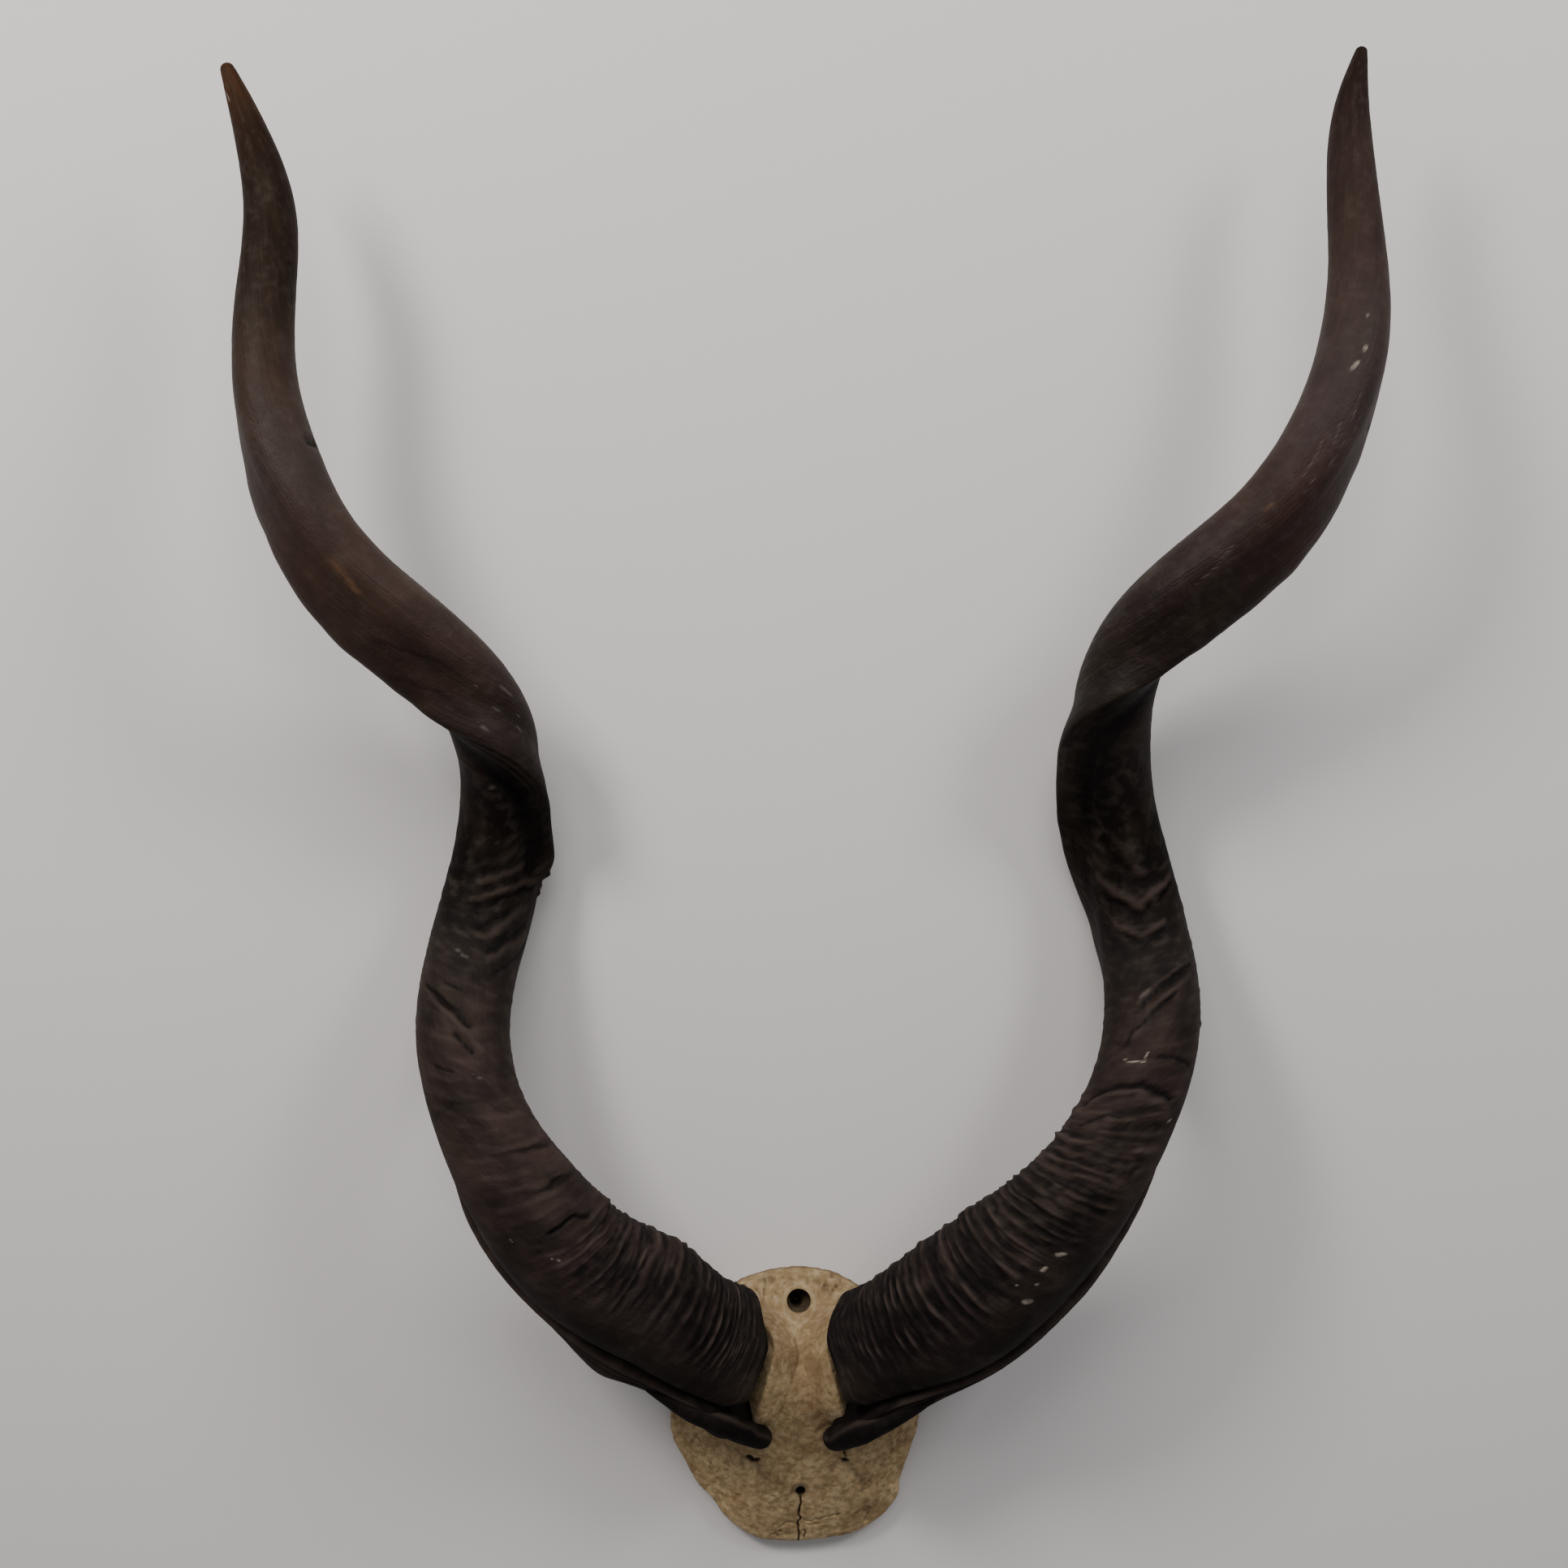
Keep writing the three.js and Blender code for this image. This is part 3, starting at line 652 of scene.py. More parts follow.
LEFT_MARKS = {
    "rough_to": 165, "rim_back": 5.5, "torn_at": 395.0, "blunt": 1.1, "strands": 1.0,
    "lines": [
        (2.0, 1.1, [(179, -127), (180, -141), (180, -153), (174, -164)]),
        (2.4, 1.6, [(333, 218), (332, 202), (329, 189), (325, 177), (320, 165)]),
        (-1.1, 2.6, [(328, 206), (322, 184), (315, 168), (304, 160)]),
        (1.3, 1.3, [(312, 183), (307, 176), (301, 170)]),
        (0.9, 1.0, [(286, 218), (286, 202)]),
        (-0.5, 2.2, [(289, 176), (275, 162), (258, 151), (242, 148)]),
        (0.4, 1.3, [(252, 255), (261, 227), (268, 206), (269, 184), (260, 172)]),
        (1.2, 1.6, [(397, 34), (404, 61), (407, 88), (405, 130)]),
        (-1.2, 2.7, [(402, 34), (409, 61), (412, 88), (410, 130)]),
        (1.2, 1.3, [(395, 80), (395, 111), (390, 140)]),
        (-1.1, 2.6, [(391, 60), (391, 90), (386, 118), (383, 140)]),
        (1.1, 1.6, [(379, 54), (382, 101), (373, 133)]),
        (-1.0, 2.6, [(374, 54), (376, 101), (368, 133)]),
        (1.0, 1.5, [(366, 48), (366, 95), (360, 128)]),
        (-0.9, 2.6, [(420, 50), (424, 80), (424, 115)]),
        (1.0, 1.0, [(344, 190), (341, 171)]),
        (0.3, 1.5, [(608, -31), (595, -46), (573, -71), (558, -70)]),
        (0.3, 1.5, [(584, -14), (557, -29), (533, -22)]),
        (2.4, 2.0, [(719, 158), (720, 178)]),
        (-2.6, 1.1, [(386, 3), (397, 7)]),
    ],
    "ledges": [
        (165, 176, 34, 3.4), (95, -172, 28, 2.3), (205, -170, 30, 0.8), (232, 175, 32, 0.8),
        (128, 178, 26, 0.9), (62, -165, 24, 0.8)],
    "pale": [
        (0.8, [(163, -116), (164, -115)]), (0.5, [(166, -113), (167, -113)]),
        (0.5, [(182, -98), (183, -98)]), (0.6, [(386, 3), (388, 4)]), (2.0, [(946, -172), (951, -166)])],
    "amber": [(3.4, [(650, -92), (643, -87), (631, -80)])],
    "scuff": [
        (1.3, [(536, -87), (530, -84)]), (1.0, [(529, -50), (526, -49)]),
        (1.1, [(525, -18), (523, -16)]), (1.1, [(513, -43), (511, -42)]), (0.7, [(482, 58), (481, 70)]),
        (1.2, [(370, 174), (366, 162)]), (0.8, [(547, -70), (545, -69)]),
        (0.7, [(519, -62), (517, -61)]), (0.7, [(287, 179), (284, 174)])],
    # painted shade along the deepest groove and under the crossing
    "dark": [
        (9.0, [(470, 38), (442, 31)]), (10.0, [(438, 30), (420, 26)]), (3.0, [(331, 200), (325, 177)]),
        (8.0, [(484, 42), (520, 40), (570, 40)])],
}


def turned(angle):
    """The same direction as an angle from -180 to 180 degrees."""
    return (angle + 180) % 360 - 180


def unrolled(t, angle, path, start):
    """Skin coordinates in mm, half a millimetre to a degree, of the points and of a line's
    corners, both counted from the direction start so that no line crosses the seam."""
    corners = [(place, 0.5 * turned(turn - start)) for place, turn in path]
    return t, 0.5 * turned(angle - start), corners


def scars(t, angle, marks_here, seed):
    """Height in mm of the lines and ledges; how much painted shade each point gets, in the sunk lines,
    at the foot of each ledge and in the dark patches; how much of a raised line it is in, which is
    painted lighter as a highlight; and how much of a pale fleck, of amber and of a grey scuff it is
    in. The lines waver by a slow noise."""
    shift = np.stack([t, 0.5 * angle, 0 * t], -1)
    sway = 1.2 * noise(shift, 5, seed + 8), 1.2 * noise(shift, 5, seed + 9)
    height, painted_shade, ridge = np.zeros(t.shape), np.zeros(t.shape), np.zeros(t.shape)
    for depth, width, path in marks_here["lines"]:
        u, v, corners = unrolled(t, angle, path, path[0][1])
        mark = near(u + sway[0], v + sway[1], corners, width)
        height -= depth * mark
        painted_shade = np.maximum(painted_shade, mark * np.clip(depth, 0, 1))
        ridge = np.maximum(ridge, mark * np.clip(-depth, 0, 1))
    for place, turn, width, rise in marks_here["ledges"]:
        ahead = t + 2 * sway[0] - place
        reach = bell(turned(angle - turn) / width)
        height += rise * reach * smooth(ahead, -1.0, 1.2) * np.exp(-np.maximum(ahead, 0) / 20)
        painted_shade = np.maximum(painted_shade, 0.8 * reach * bell((ahead + 1) / 1.8))
    tints = []
    for kind in ("pale", "amber", "scuff", "dark"):
        tint = np.zeros(t.shape)
        for width, path in marks_here[kind]:
            u, v, corners = unrolled(t, angle, path, path[0][1])
            tint = np.maximum(tint, near(u + 0.3 * sway[0], v + 0.3 * sway[1], corners, width))
        tints.append(tint)
    pale, amber, scuff, dark = tints
    pale = pale * (0.75 + 0.5 * noise(shift, 1.1, seed + 15))
    amber = amber * (0.6 + 0.6 * noise(shift * [0.4, 1, 1], 1.6, seed + 16))
    # the dark patches, along the deepest grooves and under the crossing, are painted shade too
    return height, np.maximum(painted_shade, 0.75 * dark), ridge, pale, amber, scuff


# %% Body, keel and rings
def section_radius(angle, radius, keel, width, cleft):
    """Distance from centre line to skin: a round 2% oval, plus the keel as a rounded rib,
    keel times exp(-|angle/width|^1.7), minus a shallow dip on each side of it and the cleft
    above it."""
    body = radius * (1 + 0.02 * np.cos(np.radians(2 * angle - 40)))
    rib = keel * np.exp(-np.abs(angle / width) ** 1.7)
    side = np.maximum(width * 2.3, 1)
    hollows = bell((angle + side) / (width * 0.9)) + 0.9 * bell((angle - side) / (width * 0.9))
    return body + rib - 0.17 * keel * hollows - cleft * bell((angle - CLEFT_AT) / 3.4)


def ring_count(t):
    """How many growth rings lie between the rim and t: they are 6 mm apart at the skull, 8 mm at
    a hand's breadth from it and 13 mm where they fade."""
    at = np.arange(0.0, 1200.0)
    pitch = 6 + 2 * smooth(at, 0, 150) + 5 * smooth(at, 150, RINGED)
    return np.interp(t, at, np.concatenate([[0], np.cumsum(1 / pitch)[:-1]]))


def ridges(phase, seed):
    """Height of narrow ridges, one to a ring: (1/2 - 1/2 cos)^2 of the phase, which is 0 in
    each groove, times a size from 0.4 to 1.2 that is drawn anew for each ring."""
    index = np.floor(phase)
    size = 0.8 + 0.4 * lattice(np.stack([index, 0 * index, 0 * index], -1), seed)
    return size * (0.5 - 0.5 * np.cos(2 * math.pi * phase)) ** 2


def rounded(x):
    """A quarter circle: 0 at x = 0, 1 from x = 1 on, and upright at the start."""
    return np.sqrt(1 - (1 - np.clip(x, 0, 1)) ** 2)


def rim_shape(angle, keel_turn, rim_back):
    """How far in mm the sheath's rim lies up the horn at each angle, and how much of that the
    rings beside it don't follow: they are squarer to the horn, so the rim cuts some of them off.
    keel_turn is the turn of the keel at the rim."""
    low = np.sin(np.radians(keel_turn + angle))
    drawn_back = MOUTH_BACK * bell((angle - MOUTH_BACK_AT) / 38)
    slant = MOUTH_ROUND * smooth(-low, 0.55, 1) - MOUTH_SLANT * low + drawn_back
    slant += rim_back * bell((angle + 104) / 20)
    slant += MOUTH_NICK * bell((angle - MOUTH_NICK_AT) / 13)
    return slant, slant - (0.5 * drawn_back - MOUTH_SLANT * low)


def growth_rings(skin, t, angle, cut_off, rough_to, seed):
    """Rings from -0.3 to about 1 high, wrinkles and grains from -1 to 1, and how strong all
    of them are. The rings are two sets that overlap and take over from each other in patches."""
    strong = smooth(t, 4, 16) * (1 - 0.7 * smooth(t, rough_to - 30, rough_to + 25))
    strong = strong * (1 - 0.85 * smooth(t, RINGED, 540)) * (0.65 + 0.35 * smooth(t, 15, 70))
    bare = 58 + 18 * smooth(t, 45, 115)
    strong = strong * np.where(angle < 0, smooth(-angle, bare, bare + 44), smooth(angle, 30, 80))
    wander = 2.4 * noise(skin, 34, seed) + 1.3 * noise(skin, 8, seed + 1)
    phase = ring_count(np.maximum(t + cut_off + wander, 0))
    patch = smooth(noise(skin * [1, 0.8, 0.8], 12, seed + 2), -0.35, 0.35)
    beads = 0.75 + 0.6 * noise(skin * [0.6, 1, 1], 4.5, seed + 14)
    first = ridges(phase, seed + 10) * (0.25 + 0.75 * patch)
    second = ridges(1.31 * phase + 0.4 + 0.35 * noise(skin, 20, seed + 7), seed + 11)
    rings = np.maximum(first, 0.85 * second * (1 - patch)) * beads - 0.28
    wrinkles = noise(skin * [1, 0.14, 0.14] + wander[..., None], 2.3, seed + 3)
    return rings, wrinkles, noise(skin, 2.7, seed + 12), strong


def whole_keel(t, torn_at):
    """How much of the keel is left: it fades out below a tear and starts again above it as a
    blunt end."""
    below = smooth(t, torn_at - 85, torn_at - 22) * (t < torn_at)
    return 1 - 0.85 * np.where(t < torn_at, below, 1 - rounded((t - torn_at) / 16))


# Strands along the keel: angle in degrees from it, half width in degrees, size.
LOW_STRANDS = [(-25.5, 2.2, 1.0), (-18.5, 2.0, 0.55), (-11, 2.2, 0.35)]
HIGH_STRANDS = [(19, 2.0, 1.0), (11, 1.8, 0.7), (3, 1.8, 0.6)]


def strands(angle, rows):
    """Height from 0 to about 1 of the strands in rows, as bells across the angle."""
    return sum(size * bell((angle - at) / wide) for at, wide, size in rows)


def horn_skin(rows, mirror, seed, t, angle, marks_here):
    """Points of the horn's skin in mm at growth line t and angle, both 2-D arrays, and marks for
    the material. The centre C, its direction T, F the direction nearest to the viewer at right
    angles to T, and S = T x F give each point as C + r (F cos + S sin) of the angle plus turn."""
    length = knots(rows)[-1]
    keel_turn = spline(rows, np.array([MOUTH]))[0, 6]
    slant, uneven = rim_shape(angle, keel_turn, marks_here["rim_back"])
    near_rim = 1 - smooth(t, 0, 60)
    shear = SHEAR * window(t, 60, 380, 400, 520)
    s = MOUTH + t + near_rim * slant
    s = np.minimum(s - 0.5 * shear * np.cos(np.radians(angle - SHEAR_LOW)), length)
    x, y, z, radius, keel, width, turn = np.moveaxis(spline(rows, s), -1, 0)
    along = spline(rows, np.minimum(s + 0.5, length))[..., :3] - spline(rows, s - 0.5)[..., :3]
    along /= np.linalg.norm(along, axis=-1, keepdims=True)
    front, side = across(along)

    # relief of rings, fibres and slow lumps
    skin = wrapped(t, angle, HORN_WRAP)
    rings, wrinkles, grains, strong = growth_rings(
        skin, t, angle, near_rim * uneven, marks_here["rough_to"], seed)
    fibres = noise(skin * [0.035, 1, 1], 1.9, seed + 4)
    relief = RING_HEIGHT * rings * strong + (0.22 * wrinkles + 0.28 * grains) * (0.2 + 0.8 * strong)
    relief += 0.10 * fibres * (0.3 + 0.7 * smooth(t, 250, 600)) * smooth(length - MOUTH - t, 0, 120)
    relief += 0.75 * layered(skin, 42, 3, seed + 5) * np.clip(radius / 30, 0, 1)

    # the end of the sheath is rounded off, and the finger more than the rest
    finger = np.exp(-((angle - FINGER_AT) / 24) ** 4)
    lip = -(4 + 15 * finger) * (1 - rounded(t / (6 + 14 * finger)))
    ragged = 1 + 0.10 * noise(skin * [1, 0.2, 0.2], 14, seed + 6) * smooth(t, 60, 200)
    rib = keel * ragged * whole_keel(t, marks_here["torn_at"])

    # fine strands lie along the keel, on the side that faces the forehead, and again where it
    # crosses the front, above a hollow that is painted dark as shade
    waver = angle + 1.6 * noise(skin * [0.05, 0, 0], 1.0, seed + 13)
    low_strands = strands(waver, LOW_STRANDS) * window(t, 10, 50, 240, 340)
    high_strands = strands(waver, HIGH_STRANDS) * marks_here["strands"] * window(t, 460, 490, 560, 640)
    under = window(t, 440, 480, 580, 640) * bell((angle - 40) / 14)
    relief += 2.4 * low_strands + 0.8 * high_strands - under
    cleft = CLEFT * window(t, 2, 12, 130, 260)
    cleft_shade = bell((waver - CLEFT_AT) / 3.0) * window(t, 3, 12, 180, 300)
    marked, painted_shade, ridge, pale, amber, scuff = scars(t, angle, marks_here, seed)

    blunt = marks_here["blunt"]
    radius = radius + blunt * bell((length - s) / 30)
    r = section_radius(angle, radius, rib, width, cleft) + relief + lip + marked
    r = r * rounded((length - s + 0.7) / (2 + 1.2 * blunt))
    points = np.stack([x, y, z], -1) + r[..., None] * spoke(front, side, angle + turn)
    points[..., 0] *= mirror
    points[..., 2] = np.maximum(points[..., 2], 0.0)
    # crest paints the ring crests, the strands and the raised lines lighter, part rubbed wear and part
    # painted highlight; below 0, in the grooves, it paints them darker as shade
    crest = (1.8 * rings + 0.3 * wrinkles + 0.35 * grains) * strong
    crest = crest + 1.1 * low_strands + 0.7 * high_strands + 0.9 * ridge
    marks = {
        "skin": skin / 1000.0,
        "crest": np.clip(crest, -1, 1),
        # painted shade: the sunk lines, the feet of the ledges, the dark patches, the cleft and the
        # hollow under the crossing
        "painted_shade": np.maximum.reduce([painted_shade, 0.85 * cleft_shade, 0.75 * under]),
        "pale": pale, "amber": amber, "scuff": scuff,
    }
    return points, marks


# %% [markdown]
# ### From skin to mesh
#
# The grid is closest where the horn is roughest: near the skull, and beside the keel, where the
# strands are finer than the rings. At the rim the sheath is turned in over the bone, and at the
# tip the last rings close to a point.

# %% Horn meshes
ROW_STRETCHES = [(0, 210, 0.7), (210, 340, 1.1), (340, 640, 2.4)]   # from, to, step, in mm
COLUMN_STRETCHES = [(-180, -48, 51), (-48, 24, 52), (24, 180, 33)]  # from, to, number
HEART = 28.0   # the rim is turned in towards the centre line, this far above the rim's middle


def horn(name, rows, mirror, seed, marks_here):
    """The sheath as a closed mesh: the skin on a grid of growth lines and angles, four rings
    inside the rim before it and two at the tip after it."""
    length = knots(rows)[-1] - MOUTH
    upper = [np.linspace(640, length - 16, 100), np.linspace(length - 15, length, 20)]
    t = np.concatenate([np.arange(*stretch) for stretch in ROW_STRETCHES] + upper)
    angle = np.concatenate([np.linspace(a, b, n, endpoint=False) for a, b, n in COLUMN_STRETCHES])
    t, angle = np.broadcast_arrays(t[:, None], angle[None, :])
    points, marks = horn_skin(rows, mirror, seed, t, angle, marks_here)
    heart = spline(rows, np.array([MOUTH + HEART]))[0, :3] * [mirror, 1, 1]
    inner = [heart + (points[0] - heart) * k for k in (0.3, 0.6, 0.85, 0.95)]
    end = spline(rows, np.array([length + MOUTH - 1, length + MOUTH]))[:, :3]
    reach = (end[1] + (end[1] - end[0]) * 0.8) * [mirror, 1, 1]
    caps = [reach + (points[-1] - reach) * k for k in (0.8, 0.45)]
    points = np.concatenate([inner, points, caps])
    marks = {key: np.concatenate([value[:1]] * 4 + [value] + [value[-1:]] * 2)
             for key, value in marks.items()}
    return shell(name, points, heart, reach, marks, turn=mirror < 0)


# %% [markdown]
# ### The finger of horn
#
# The keel doesn't stop at the rim. It runs on over the bone towards the brow as a finger with a
# blunt end, so it is built as a round bar of its own that sinks into the horn's keel.

# %% Fingers on the bone
# x outward, y, z and radius in mm of the end of each keel, from its blunt end to where it has
# sunk into the horn.
RIGHT_FINGER = np.array([
    [21.4, -17.8, 49.5, 7.3], [29.0, -10.7, 62.5, 8.2], [37.6, -4.4, 70, 8.6],
    [46.7, 0.9, 73, 8.3], [64.6, 10.5, 75.5, 6.5], [80.0, 18.9, 76.5, 4.4]])
LEFT_FINGER = np.array([
    [25.2, -17.0, 49.5, 7.3], [37.6, -7.4, 62.5, 8], [49.3, 1.4, 71.3, 8.5],
    [60.3, 6.0, 71.8, 8.1], [80.1, 16.9, 75, 6], [92.9, 24.7, 76, 4]])


def finger(name, rows, mirror, seed):
    """The end of the keel as a closed round bar along a spline. Its blunt end is a dome: d mm
    before the first station the radius is the root of r^2 - d^2."""
    s = np.linspace(0, knots(rows)[-1], 90)
    x, y, z, r = np.moveaxis(spline(rows, s), -1, 0)
    centre = np.stack([x, y, z], -1)
    along = np.gradient(centre, axis=0)
    along /= np.linalg.norm(along, axis=-1, keepdims=True)
    d = r[0] * np.sin(np.radians([85, 75, 64, 52, 39, 26, 13]))[:, None]
    centre = np.concatenate([centre[0] - along[0] * d, centre])
    r = np.concatenate([np.sqrt(r[0] ** 2 - d[:, 0] ** 2), r])
    along = np.concatenate([np.repeat(along[:1], len(d), axis=0), along])
    front, side = across(along)
    t = (np.concatenate([-d[:, 0], s]) - 20)[:, None]
    t, phi = np.broadcast_arrays(t, np.arange(0, 360, 9.0)[None, :])
    skin = wrapped(t, phi, FINGER_WRAP)
    lump = layered(skin, 9, 3, seed + 20)
    strand = bell(turned(phi + 42 + 8 * noise(skin * [0.1, 0, 0], 1.0, seed + 21)) / 14)
    full = np.clip(r / r[len(d)], 0, 1)[:, None]
    reach = r[:, None] + full * (0.55 * lump + 0.8 * strand * smooth(t, -14, 0))
    points = centre[:, None] + reach[..., None] * spoke(front[:, None], side[:, None], phi)
    points[..., 0] *= mirror
    # painted highlight and shade: the strand along the finger's top is painted lighter, and the rest of
    # the finger is painted darker as shade
    marks = {"skin": skin / 1000.0, "crest": np.clip(0.9 * strand + 0.4 * lump, -1, 1),
             "painted_shade": 0.55 * (1 - 0.8 * strand)}
    marks.update((key, np.zeros(t.shape)) for key in ("pale", "amber", "scuff"))
    first, last = points[0].mean(axis=0), points[-1].mean(axis=0)
    return shell(name, points, first, last, marks, turn=mirror < 0)


def join(thing, extra):
    """Makes extra a part of thing's mesh."""
    both = [thing, extra]
    with bpy.context.temp_override(active_object=thing, object=thing, selected_editable_objects=both):
        bpy.ops.object.join()
    return thing


# stations, side (1 right, -1 left), seed of the noise, marks
RIGHT_HORN = RIGHT_ROWS, 1, 300, RIGHT_MARKS
LEFT_HORN = LEFT_ROWS, -1, 500, LEFT_MARKS
horn_right = join(horn("horn_right_keratin", *RIGHT_HORN),
                  finger("finger", RIGHT_FINGER, *RIGHT_HORN[1:3]))
horn_left = join(horn("horn_left_keratin", *LEFT_HORN),
                 finger("finger", LEFT_FINGER, *LEFT_HORN[1:3]))
for thing in (horn_right, horn_left):
    print(thing.name, len(thing.data.polygons), "faces", [round(v * 1000) for v in thing.dimensions])

# %% [markdown]
# ## Finishes
#
# Keratin is dark because it is full of pigment. Where it is young, near the skull, it is almost
# black and dull; the grooves between the rings are painted darker as shade, and the crests between
# them are rubbed greyer and painted lighter as a highlight, as are the strands along the keel.
# The cleft beside the keel and the hollow under the crossing are painted dark as shade. Further up
# the outer layers have worn off, the pigment is thinner and the brown of the fibres shows with a
# satin sheen. The folds halfway up hold grime, and the tips, which stood out in the weather
# longest, are dull again.

# %% Keratin
def mix(tree, factor, a, b):
    """A colour blend of a and b. Each of the three may be a socket or a plain value."""
    made = tree.nodes.new("ShaderNodeMix")
    made.data_type = "RGBA"
    for socket, value in ((made.inputs[0], factor), (made.inputs[6], a), (made.inputs[7], b)):
        if isinstance(value, bpy.types.NodeSocket):
            tree.links.new(value, socket)
        else:
            socket.default_value = value
    return made.outputs[2]


def ramp(tree, source, stops):
    """A colour ramp over the source: stops are (place, colour)."""
    made = node(tree, "ShaderNodeValToRGB", {"Fac": source})
    spots = made.color_ramp.elements
    while len(spots) < len(stops):
        spots.new(0.5)
    for spot, (place, colour) in zip(spots, stops):
        spot.position = place
        spot.color = colour
    return made.outputs["Color"]


def grey(value):
    """A colour of three equal linear parts."""
    return (value, value, value, 1.0)


def texture(tree, vector, stretch, detail):
    """Noise whose grain is set in the three directions of the vector by stretch, per metre."""
    scaled = node(tree, "ShaderNodeVectorMath", {0: vector}, operation="MULTIPLY")
    scaled.inputs[1].default_value = stretch
    made = node(tree, "ShaderNodeTexNoise", {"Vector": scaled.outputs[0]}, Scale=1.0, Detail=detail)
    return made.outputs["Fac"]


def amount(tree, source, *stops):
    """A number that follows the source through stops of (place, value)."""
    return ramp(tree, source, [(place, grey(value)) for place, value in stops])


def tinted(tree, body, layers):
    """Lays tints over the colour body, one after the other. Each layer is (source, start, end,
    less, more, sRGB): the tint covers the part less where the source is at start, and the part
    more where it is at end."""
    for source, start, end, less, more, code in layers:
        cover = amount(tree, source, (start, less), (end, more))
        body = mix(tree, cover, body, linear(code))
    return body


def keratin(name, growth_stops, dull_from):
    """A horn's finish. growth_stops are (metres from the skull, sRGB) of the worn fibre colour.
    The sheen is satin, but grime dulls it in the folds halfway up and the weather does from
    dull_from metres to the tip."""
    made, tree, shader = material(name)
    skin = attributes(tree, ["skin"], "Vector")[0]
    crest, painted_shade, pale, amber, scuff = attributes(tree, ["crest", "painted_shade", "pale", "amber", "scuff"])
    growth = node(tree, "ShaderNodeSeparateXYZ", {0: skin}).outputs["X"]
    fibres = texture(tree, skin, (28, 620, 620), 3.0)
    fine = texture(tree, skin, (420, 700, 700), 3.0)
    blotch = texture(tree, skin, (40, 60, 60), 4.0)
    dust = texture(tree, skin, (150, 110, 110), 4.0)
    olive = texture(tree, skin, (26, 44, 44), 5.0)
    groove_shade = node(tree, "ShaderNodeMath", {0: crest}, operation="MULTIPLY")
    groove_shade.inputs[1].default_value = -1.0
    worn = amount(tree, growth, (0.38, 0.0), (0.62, 1.0))
    streaks = mix(tree, worn, grey(0.0), amount(tree, fibres, (0.42, 0.0), (0.7, 0.10)))
    spots = mix(tree, worn, amount(tree, blotch, (0.38, 0.6), (0.6, 0.0)),
                amount(tree, blotch, (0.3, 0.35), (0.65, 0.0)))
    body = ramp(tree, growth, [(place, linear(code)) for place, code in growth_stops])
    body = mix(tree, streaks, body, linear("#5a4438"))
    body = tinted(tree, body, [(olive, 0.46, 0.66, 0, 0.4, "#30281d"),
                               (dust, 0.48, 0.7, 0, 0.34, "#4a3f39")])
    body = mix(tree, spots, body, linear("#0c0807"))
    # painted highlight: the crests, strands and raised lines turn greyer, part rubbed wear and part
    # highlight; painted shade: the grooves and the painted_shade marks turn near black
    body = tinted(tree, body, [(crest, 0.1, 0.95, 0, 0.48, "#4b3e38"),
                               (groove_shade.outputs[0], 0.05, 0.6, 0, 0.8, "#050303")])
    body = mix(tree, painted_shade, body, linear("#050303"))
    body = tinted(tree, body, [(scuff, 0.15, 0.9, 0, 0.45, "#6a6059"),
                               (amber, 0.1, 0.9, 0, 0.3, "#7d5a38"),
                               (pale, 0.25, 0.85, 0, 0.9, "#968a7c")])
    tree.links.new(body, shader.inputs["Base Color"])
    gloss = amount(tree, growth, (0.0, 0.85), (0.3, 0.72), (0.6, 0.5))
    tree.links.new(gloss, shader.inputs["Roughness"])
    sheen = amount(tree, growth, (0.37, 0.12), (0.41, 0.05), (0.46, 0.05), (0.52, 0.12),
                   (dull_from, 0.12), (dull_from + 0.1, 0.03))
    tree.links.new(sheen, shader.inputs["Specular IOR Level"])
    rough = node(tree, "ShaderNodeMath", {0: fibres, 1: fine}, operation="ADD").outputs[0]
    bump = node(tree, "ShaderNodeBump", {"Height": rough}, Strength=0.6, Distance=0.0006)
    tree.links.new(bump.outputs["Normal"], shader.inputs["Normal"])
    return made


dark_keratin_right = keratin("dark_keratin_right", [
    (0, "#150e0c"), (0.12, "#251b19"), (0.19, "#2e2420"), (0.26, "#382b27"), (0.31, "#2d1f1c"),
    (0.37, "#1c1411"), (0.44, "#0a0705"), (0.5, "#16100e"), (0.56, "#1d1410"), (0.64, "#2c1f1c"),
    (0.69, "#33211b"), (0.75, "#392b29"), (0.81, "#382a25"), (0.86, "#372722"), (0.91, "#352824"),
    (0.96, "#251814")], 0.80)
dark_keratin_left = keratin("dark_keratin_left", [
    (0, "#18110d"), (0.1, "#2a201d"), (0.17, "#372926"), (0.24, "#3a2c27"), (0.33, "#332621"),
    (0.38, "#1a130f"), (0.43, "#0a0705"), (0.48, "#160f0e"), (0.55, "#34251f"), (0.61, "#402f27"),
    (0.65, "#3c2a23"), (0.71, "#362b25"), (0.77, "#38271e"), (0.82, "#281d15"), (0.88, "#231812"),
    (0.925, "#26170f"), (0.96, "#442b19")], 0.74)
horn_right.data.materials.append(dark_keratin_right)
horn_left.data.materials.append(dark_keratin_left)
print("keratin:", len(dark_keratin_right.node_tree.nodes), "nodes")

# %% [markdown]
# ### Old bone
#
# Boiled and dried bone is the colour of pale wood, with a browner stain down the middle. Here it
# is painted darker towards the top of the plate and at the lower right edge as shade, and paler
# along the rims of the sheaths and round the countersink as a highlight. Its surface is full of
# grains and pores that a finger can feel, so it is quite matt. The seam, the channels and the
# holes are painted dark as shade, and the pores and the sawn edge are darker.

# %% Bone
spots = np.empty(len(plate.data.vertices) * 3)
plate.data.vertices.foreach_get("co", spots)
bx, by, bz = spots.reshape(-1, 3).T / MM
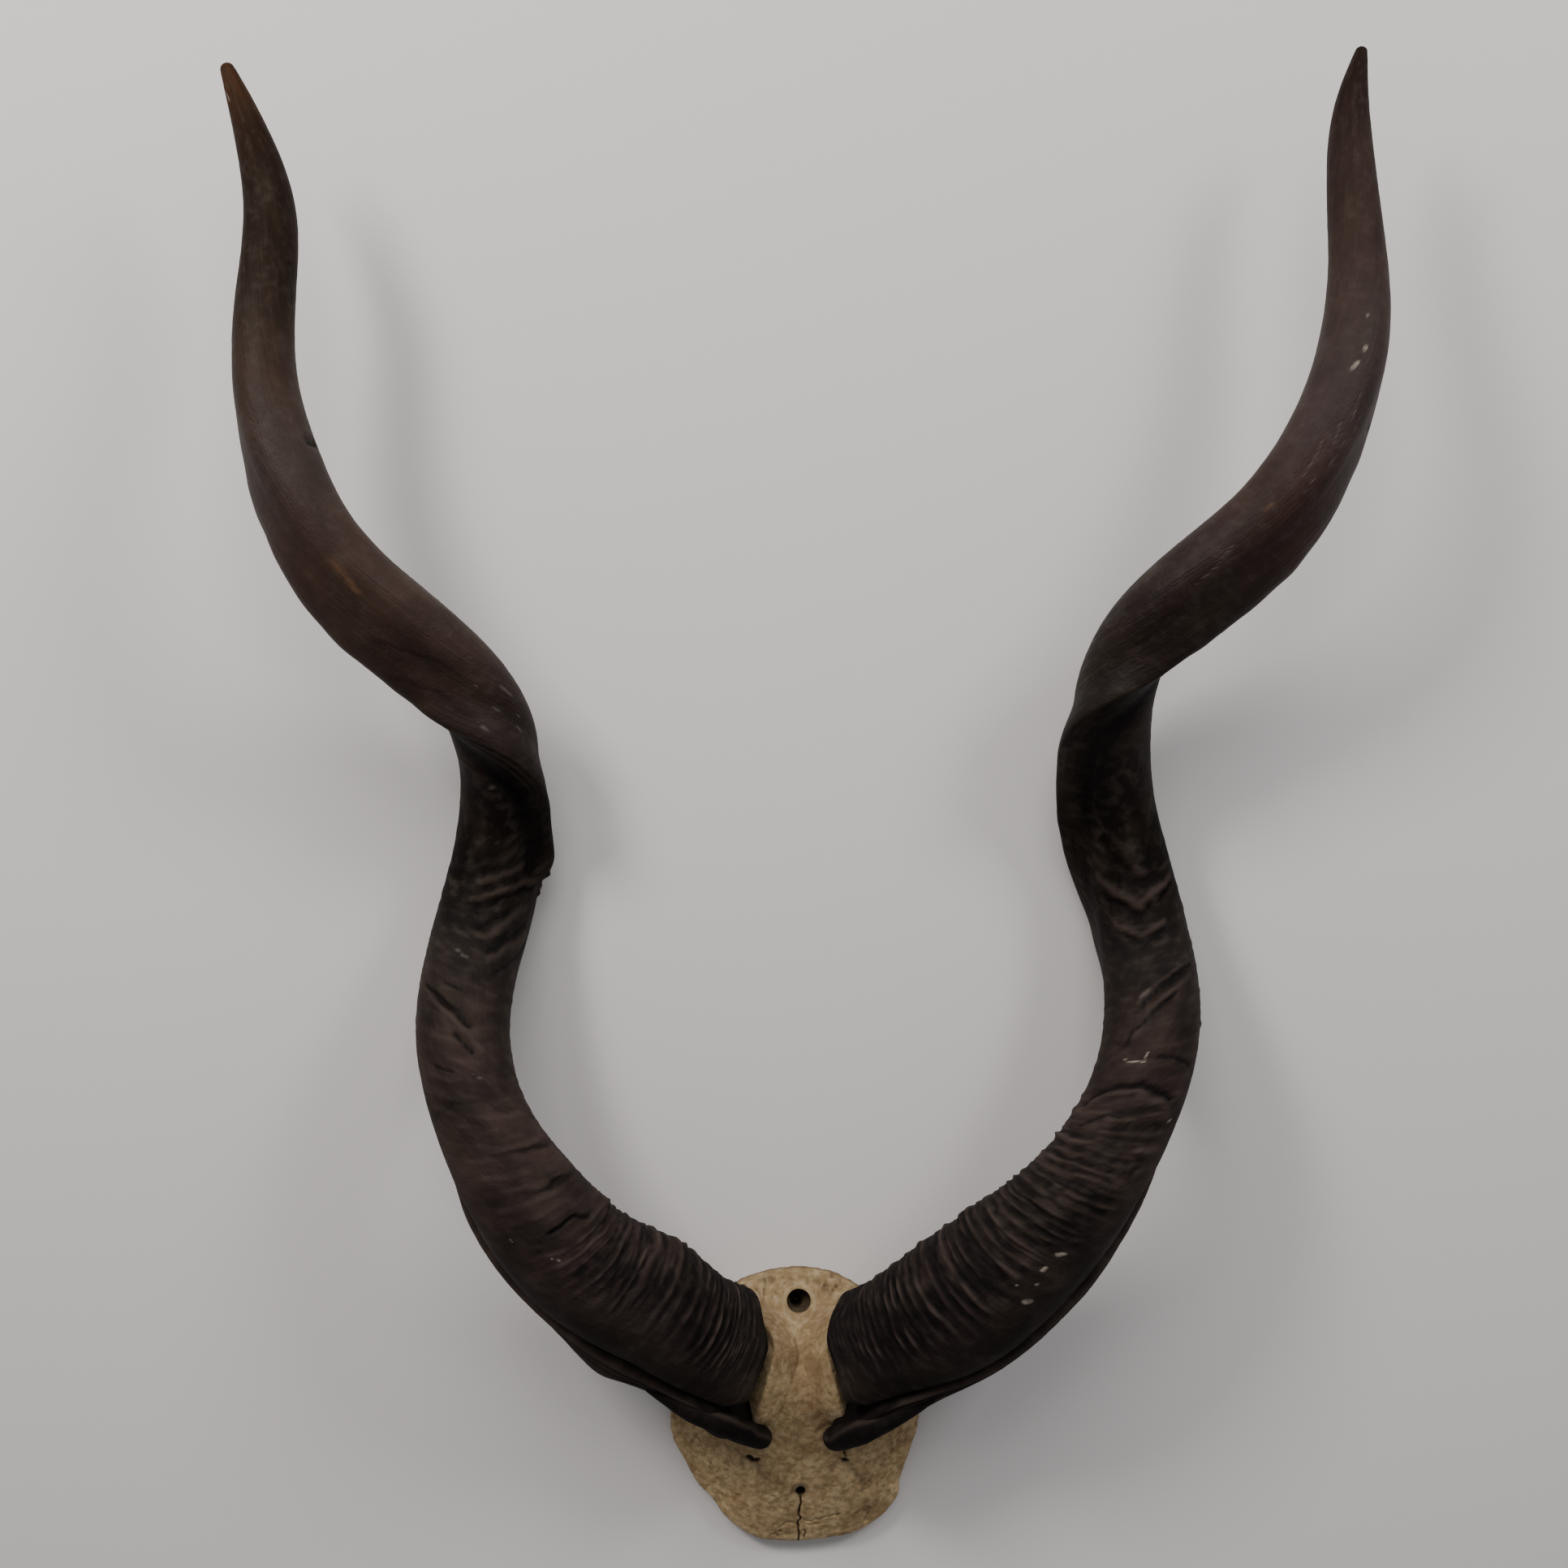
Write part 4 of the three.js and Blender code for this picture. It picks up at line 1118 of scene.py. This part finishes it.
# bone_shade: painted shade in the cracks, channels and holes, with darker pores and sawn edge
_, bone_shade = bone_marks(bx, by)
height, u = bone_height(bx, by)
edge = bz < height - 4.5
upper_hole = from_hole(bx, by, UPPER_HOLE)
lower_hole = from_hole(bx, by, LOWER_HOLE)
# the sawn edge is a little darker; painted shade darkens the lower bore the deeper it goes, and the
# countersink, most on its upper side
bone_shade = np.where(edge, 0.25, bone_shade)
bone_shade = np.maximum(bone_shade, smooth(height - bz, 2.5, 9) * (lower_hole < 4))
inside = (upper_hole < 9) & (height - bz > 0.7)
bone_shade = np.where(inside, 0.78 + 0.2 * smooth(by, 58, 66), bone_shade)
# painted shade: a ring round the lower bore, darker above and to the left of it, and both bores painted
# black
around = 0.5 * (1 - smooth(from_hole(bx, by, (-0.8, -57.4)), 3.5, 6))
bone_shade = np.where(lower_hole < 3.3, 1.0, np.maximum(bone_shade, around))
bone_shade = np.where((from_hole(bx, by, (-2.9, 57.0)) < 2.7) & (bz < 12), 1.0, bone_shade)
bone_shade = np.maximum(bone_shade, 0.35 * bell((lower_hole - 4.6) / 2.0))
flat = np.stack([bx, by, 0 * bx], -1)
# a browner stain down the middle between the horns, painted shade at the lower right edge, and random
# patches
stain_and_shade = bell((bx - 4) / 13) * smooth(by, -18, 8) * smooth(-by, -52, -28)
stain_and_shade = np.maximum(stain_and_shade, 0.9 * bell((bx - 40) / 16) * bell((by + 82) / 9))
stain_and_shade = np.clip(stain_and_shade + 0.6 * noise(flat, 14, 90), 0, 1)
# painted shade: the bone is darker towards the top of the plate, which faces the lamps
top_shade = smooth(by + 6 * noise(flat, 18, 91), -5, 50)
# painted highlight: a paler band along the rims of the two sheaths, and a paler ring round the edge of
# the countersink
one_turn = np.arange(-180.0, 180.0)[None, :]
rim = [horn_skin(rows, mirror, seed, np.ones((1, 360)), one_turn, here)[0][0]
       for rows, mirror, seed, here in (RIGHT_HORN, LEFT_HORN)]
bone_points = np.stack([bx, by, bz], -1)
gap = np.full(len(bx), 1e9)
for point in np.concatenate(rim)[::2]:
    gap = np.minimum(gap, np.linalg.norm(bone_points - point, axis=1))
rim_highlight = bell((gap - 3.0) / 3.0) * (0.6 + 0.4 * noise(flat, 5, 92))
rim_highlight = np.maximum(rim_highlight, 0.35 * bell((upper_hole - 9.8) / 1.3)) * ~edge
for key, values in (("bone_shade", bone_shade), ("stain_and_shade", stain_and_shade), ("sawn", smooth(6.5 - bz, 0, 1.5)),
                    ("top_shade", top_shade), ("rim_highlight", rim_highlight)):
    plate.data.attributes.new(key, "FLOAT", "POINT").data.foreach_set("value", values)

old_bone, tree, shader = material("old_boiled_bone")
place = node(tree, "ShaderNodeTexCoord").outputs["Object"]
bone_shade, stain_and_shade, sawn, top_shade, rim_highlight = attributes(tree, ["bone_shade", "stain_and_shade", "sawn", "top_shade", "rim_highlight"])
grain = texture(tree, place, (420, 420, 420), 3.0)
patch = texture(tree, place, (70, 70, 70), 4.0)
mottle = texture(tree, place, (230, 230, 230), 3.0)
# top_shade and the lower right of stain_and_shade are painted shade, rim_highlight a painted highlight,
# and bone_shade painted shade in the cracks, channels and holes
body = tinted(tree, linear("#ac8e66"), [
    (patch, 0.35, 0.68, 0, 1, "#ccb083"),
    (top_shade, 0, 1, 0, 0.62, "#7a6950"),
    (mottle, 0.36, 0.56, 0.6, 0, "#78623f"),
    (mottle, 0.54, 0.74, 0, 0.3, "#c9bb9c"),
    (grain, 0.3, 0.6, 0.3, 0, "#6f5a40"),
    (rim_highlight, 0.1, 0.9, 0, 0.6, "#c4b394"),
    (stain_and_shade, 0.1, 0.9, 0, 0.6, "#6d5135"),
    (sawn, 0, 1, 0, 0.5, "#6a5338"),
    (bone_shade, 0.1, 0.9, 0, 0.95, "#1c140b")])
tree.links.new(body, shader.inputs["Base Color"])
shader.inputs["Roughness"].default_value = 0.85
shader.inputs["Specular IOR Level"].default_value = 0.25
bump = node(tree, "ShaderNodeBump", {"Height": mottle}, Strength=0.4, Distance=0.0005)
tree.links.new(bump.outputs["Normal"], shader.inputs["Normal"])
plate.data.materials.append(old_bone)
print("bone:", len(tree.nodes), "nodes")

# %% [markdown]
# ## Putting it together
#
# The three pieces lie in the frame of the solid model. Each rides on the one rigid body and takes
# the place of its node there.

# %% Assembly
for thing, part, finish in ((plate, "skull_plate", "bone"), (horn_right, "horn_right", "horn"),
                            (horn_left, "horn_left", "horn")):
    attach(thing, "root")
    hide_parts(part)
bpy.context.view_layer.update()
corners = np.concatenate([thing.bound_box for thing in (plate, horn_right, horn_left)]) / MM
print("finished pieces, mm:", corners.min(axis=0).round(1), corners.max(axis=0).round(1))
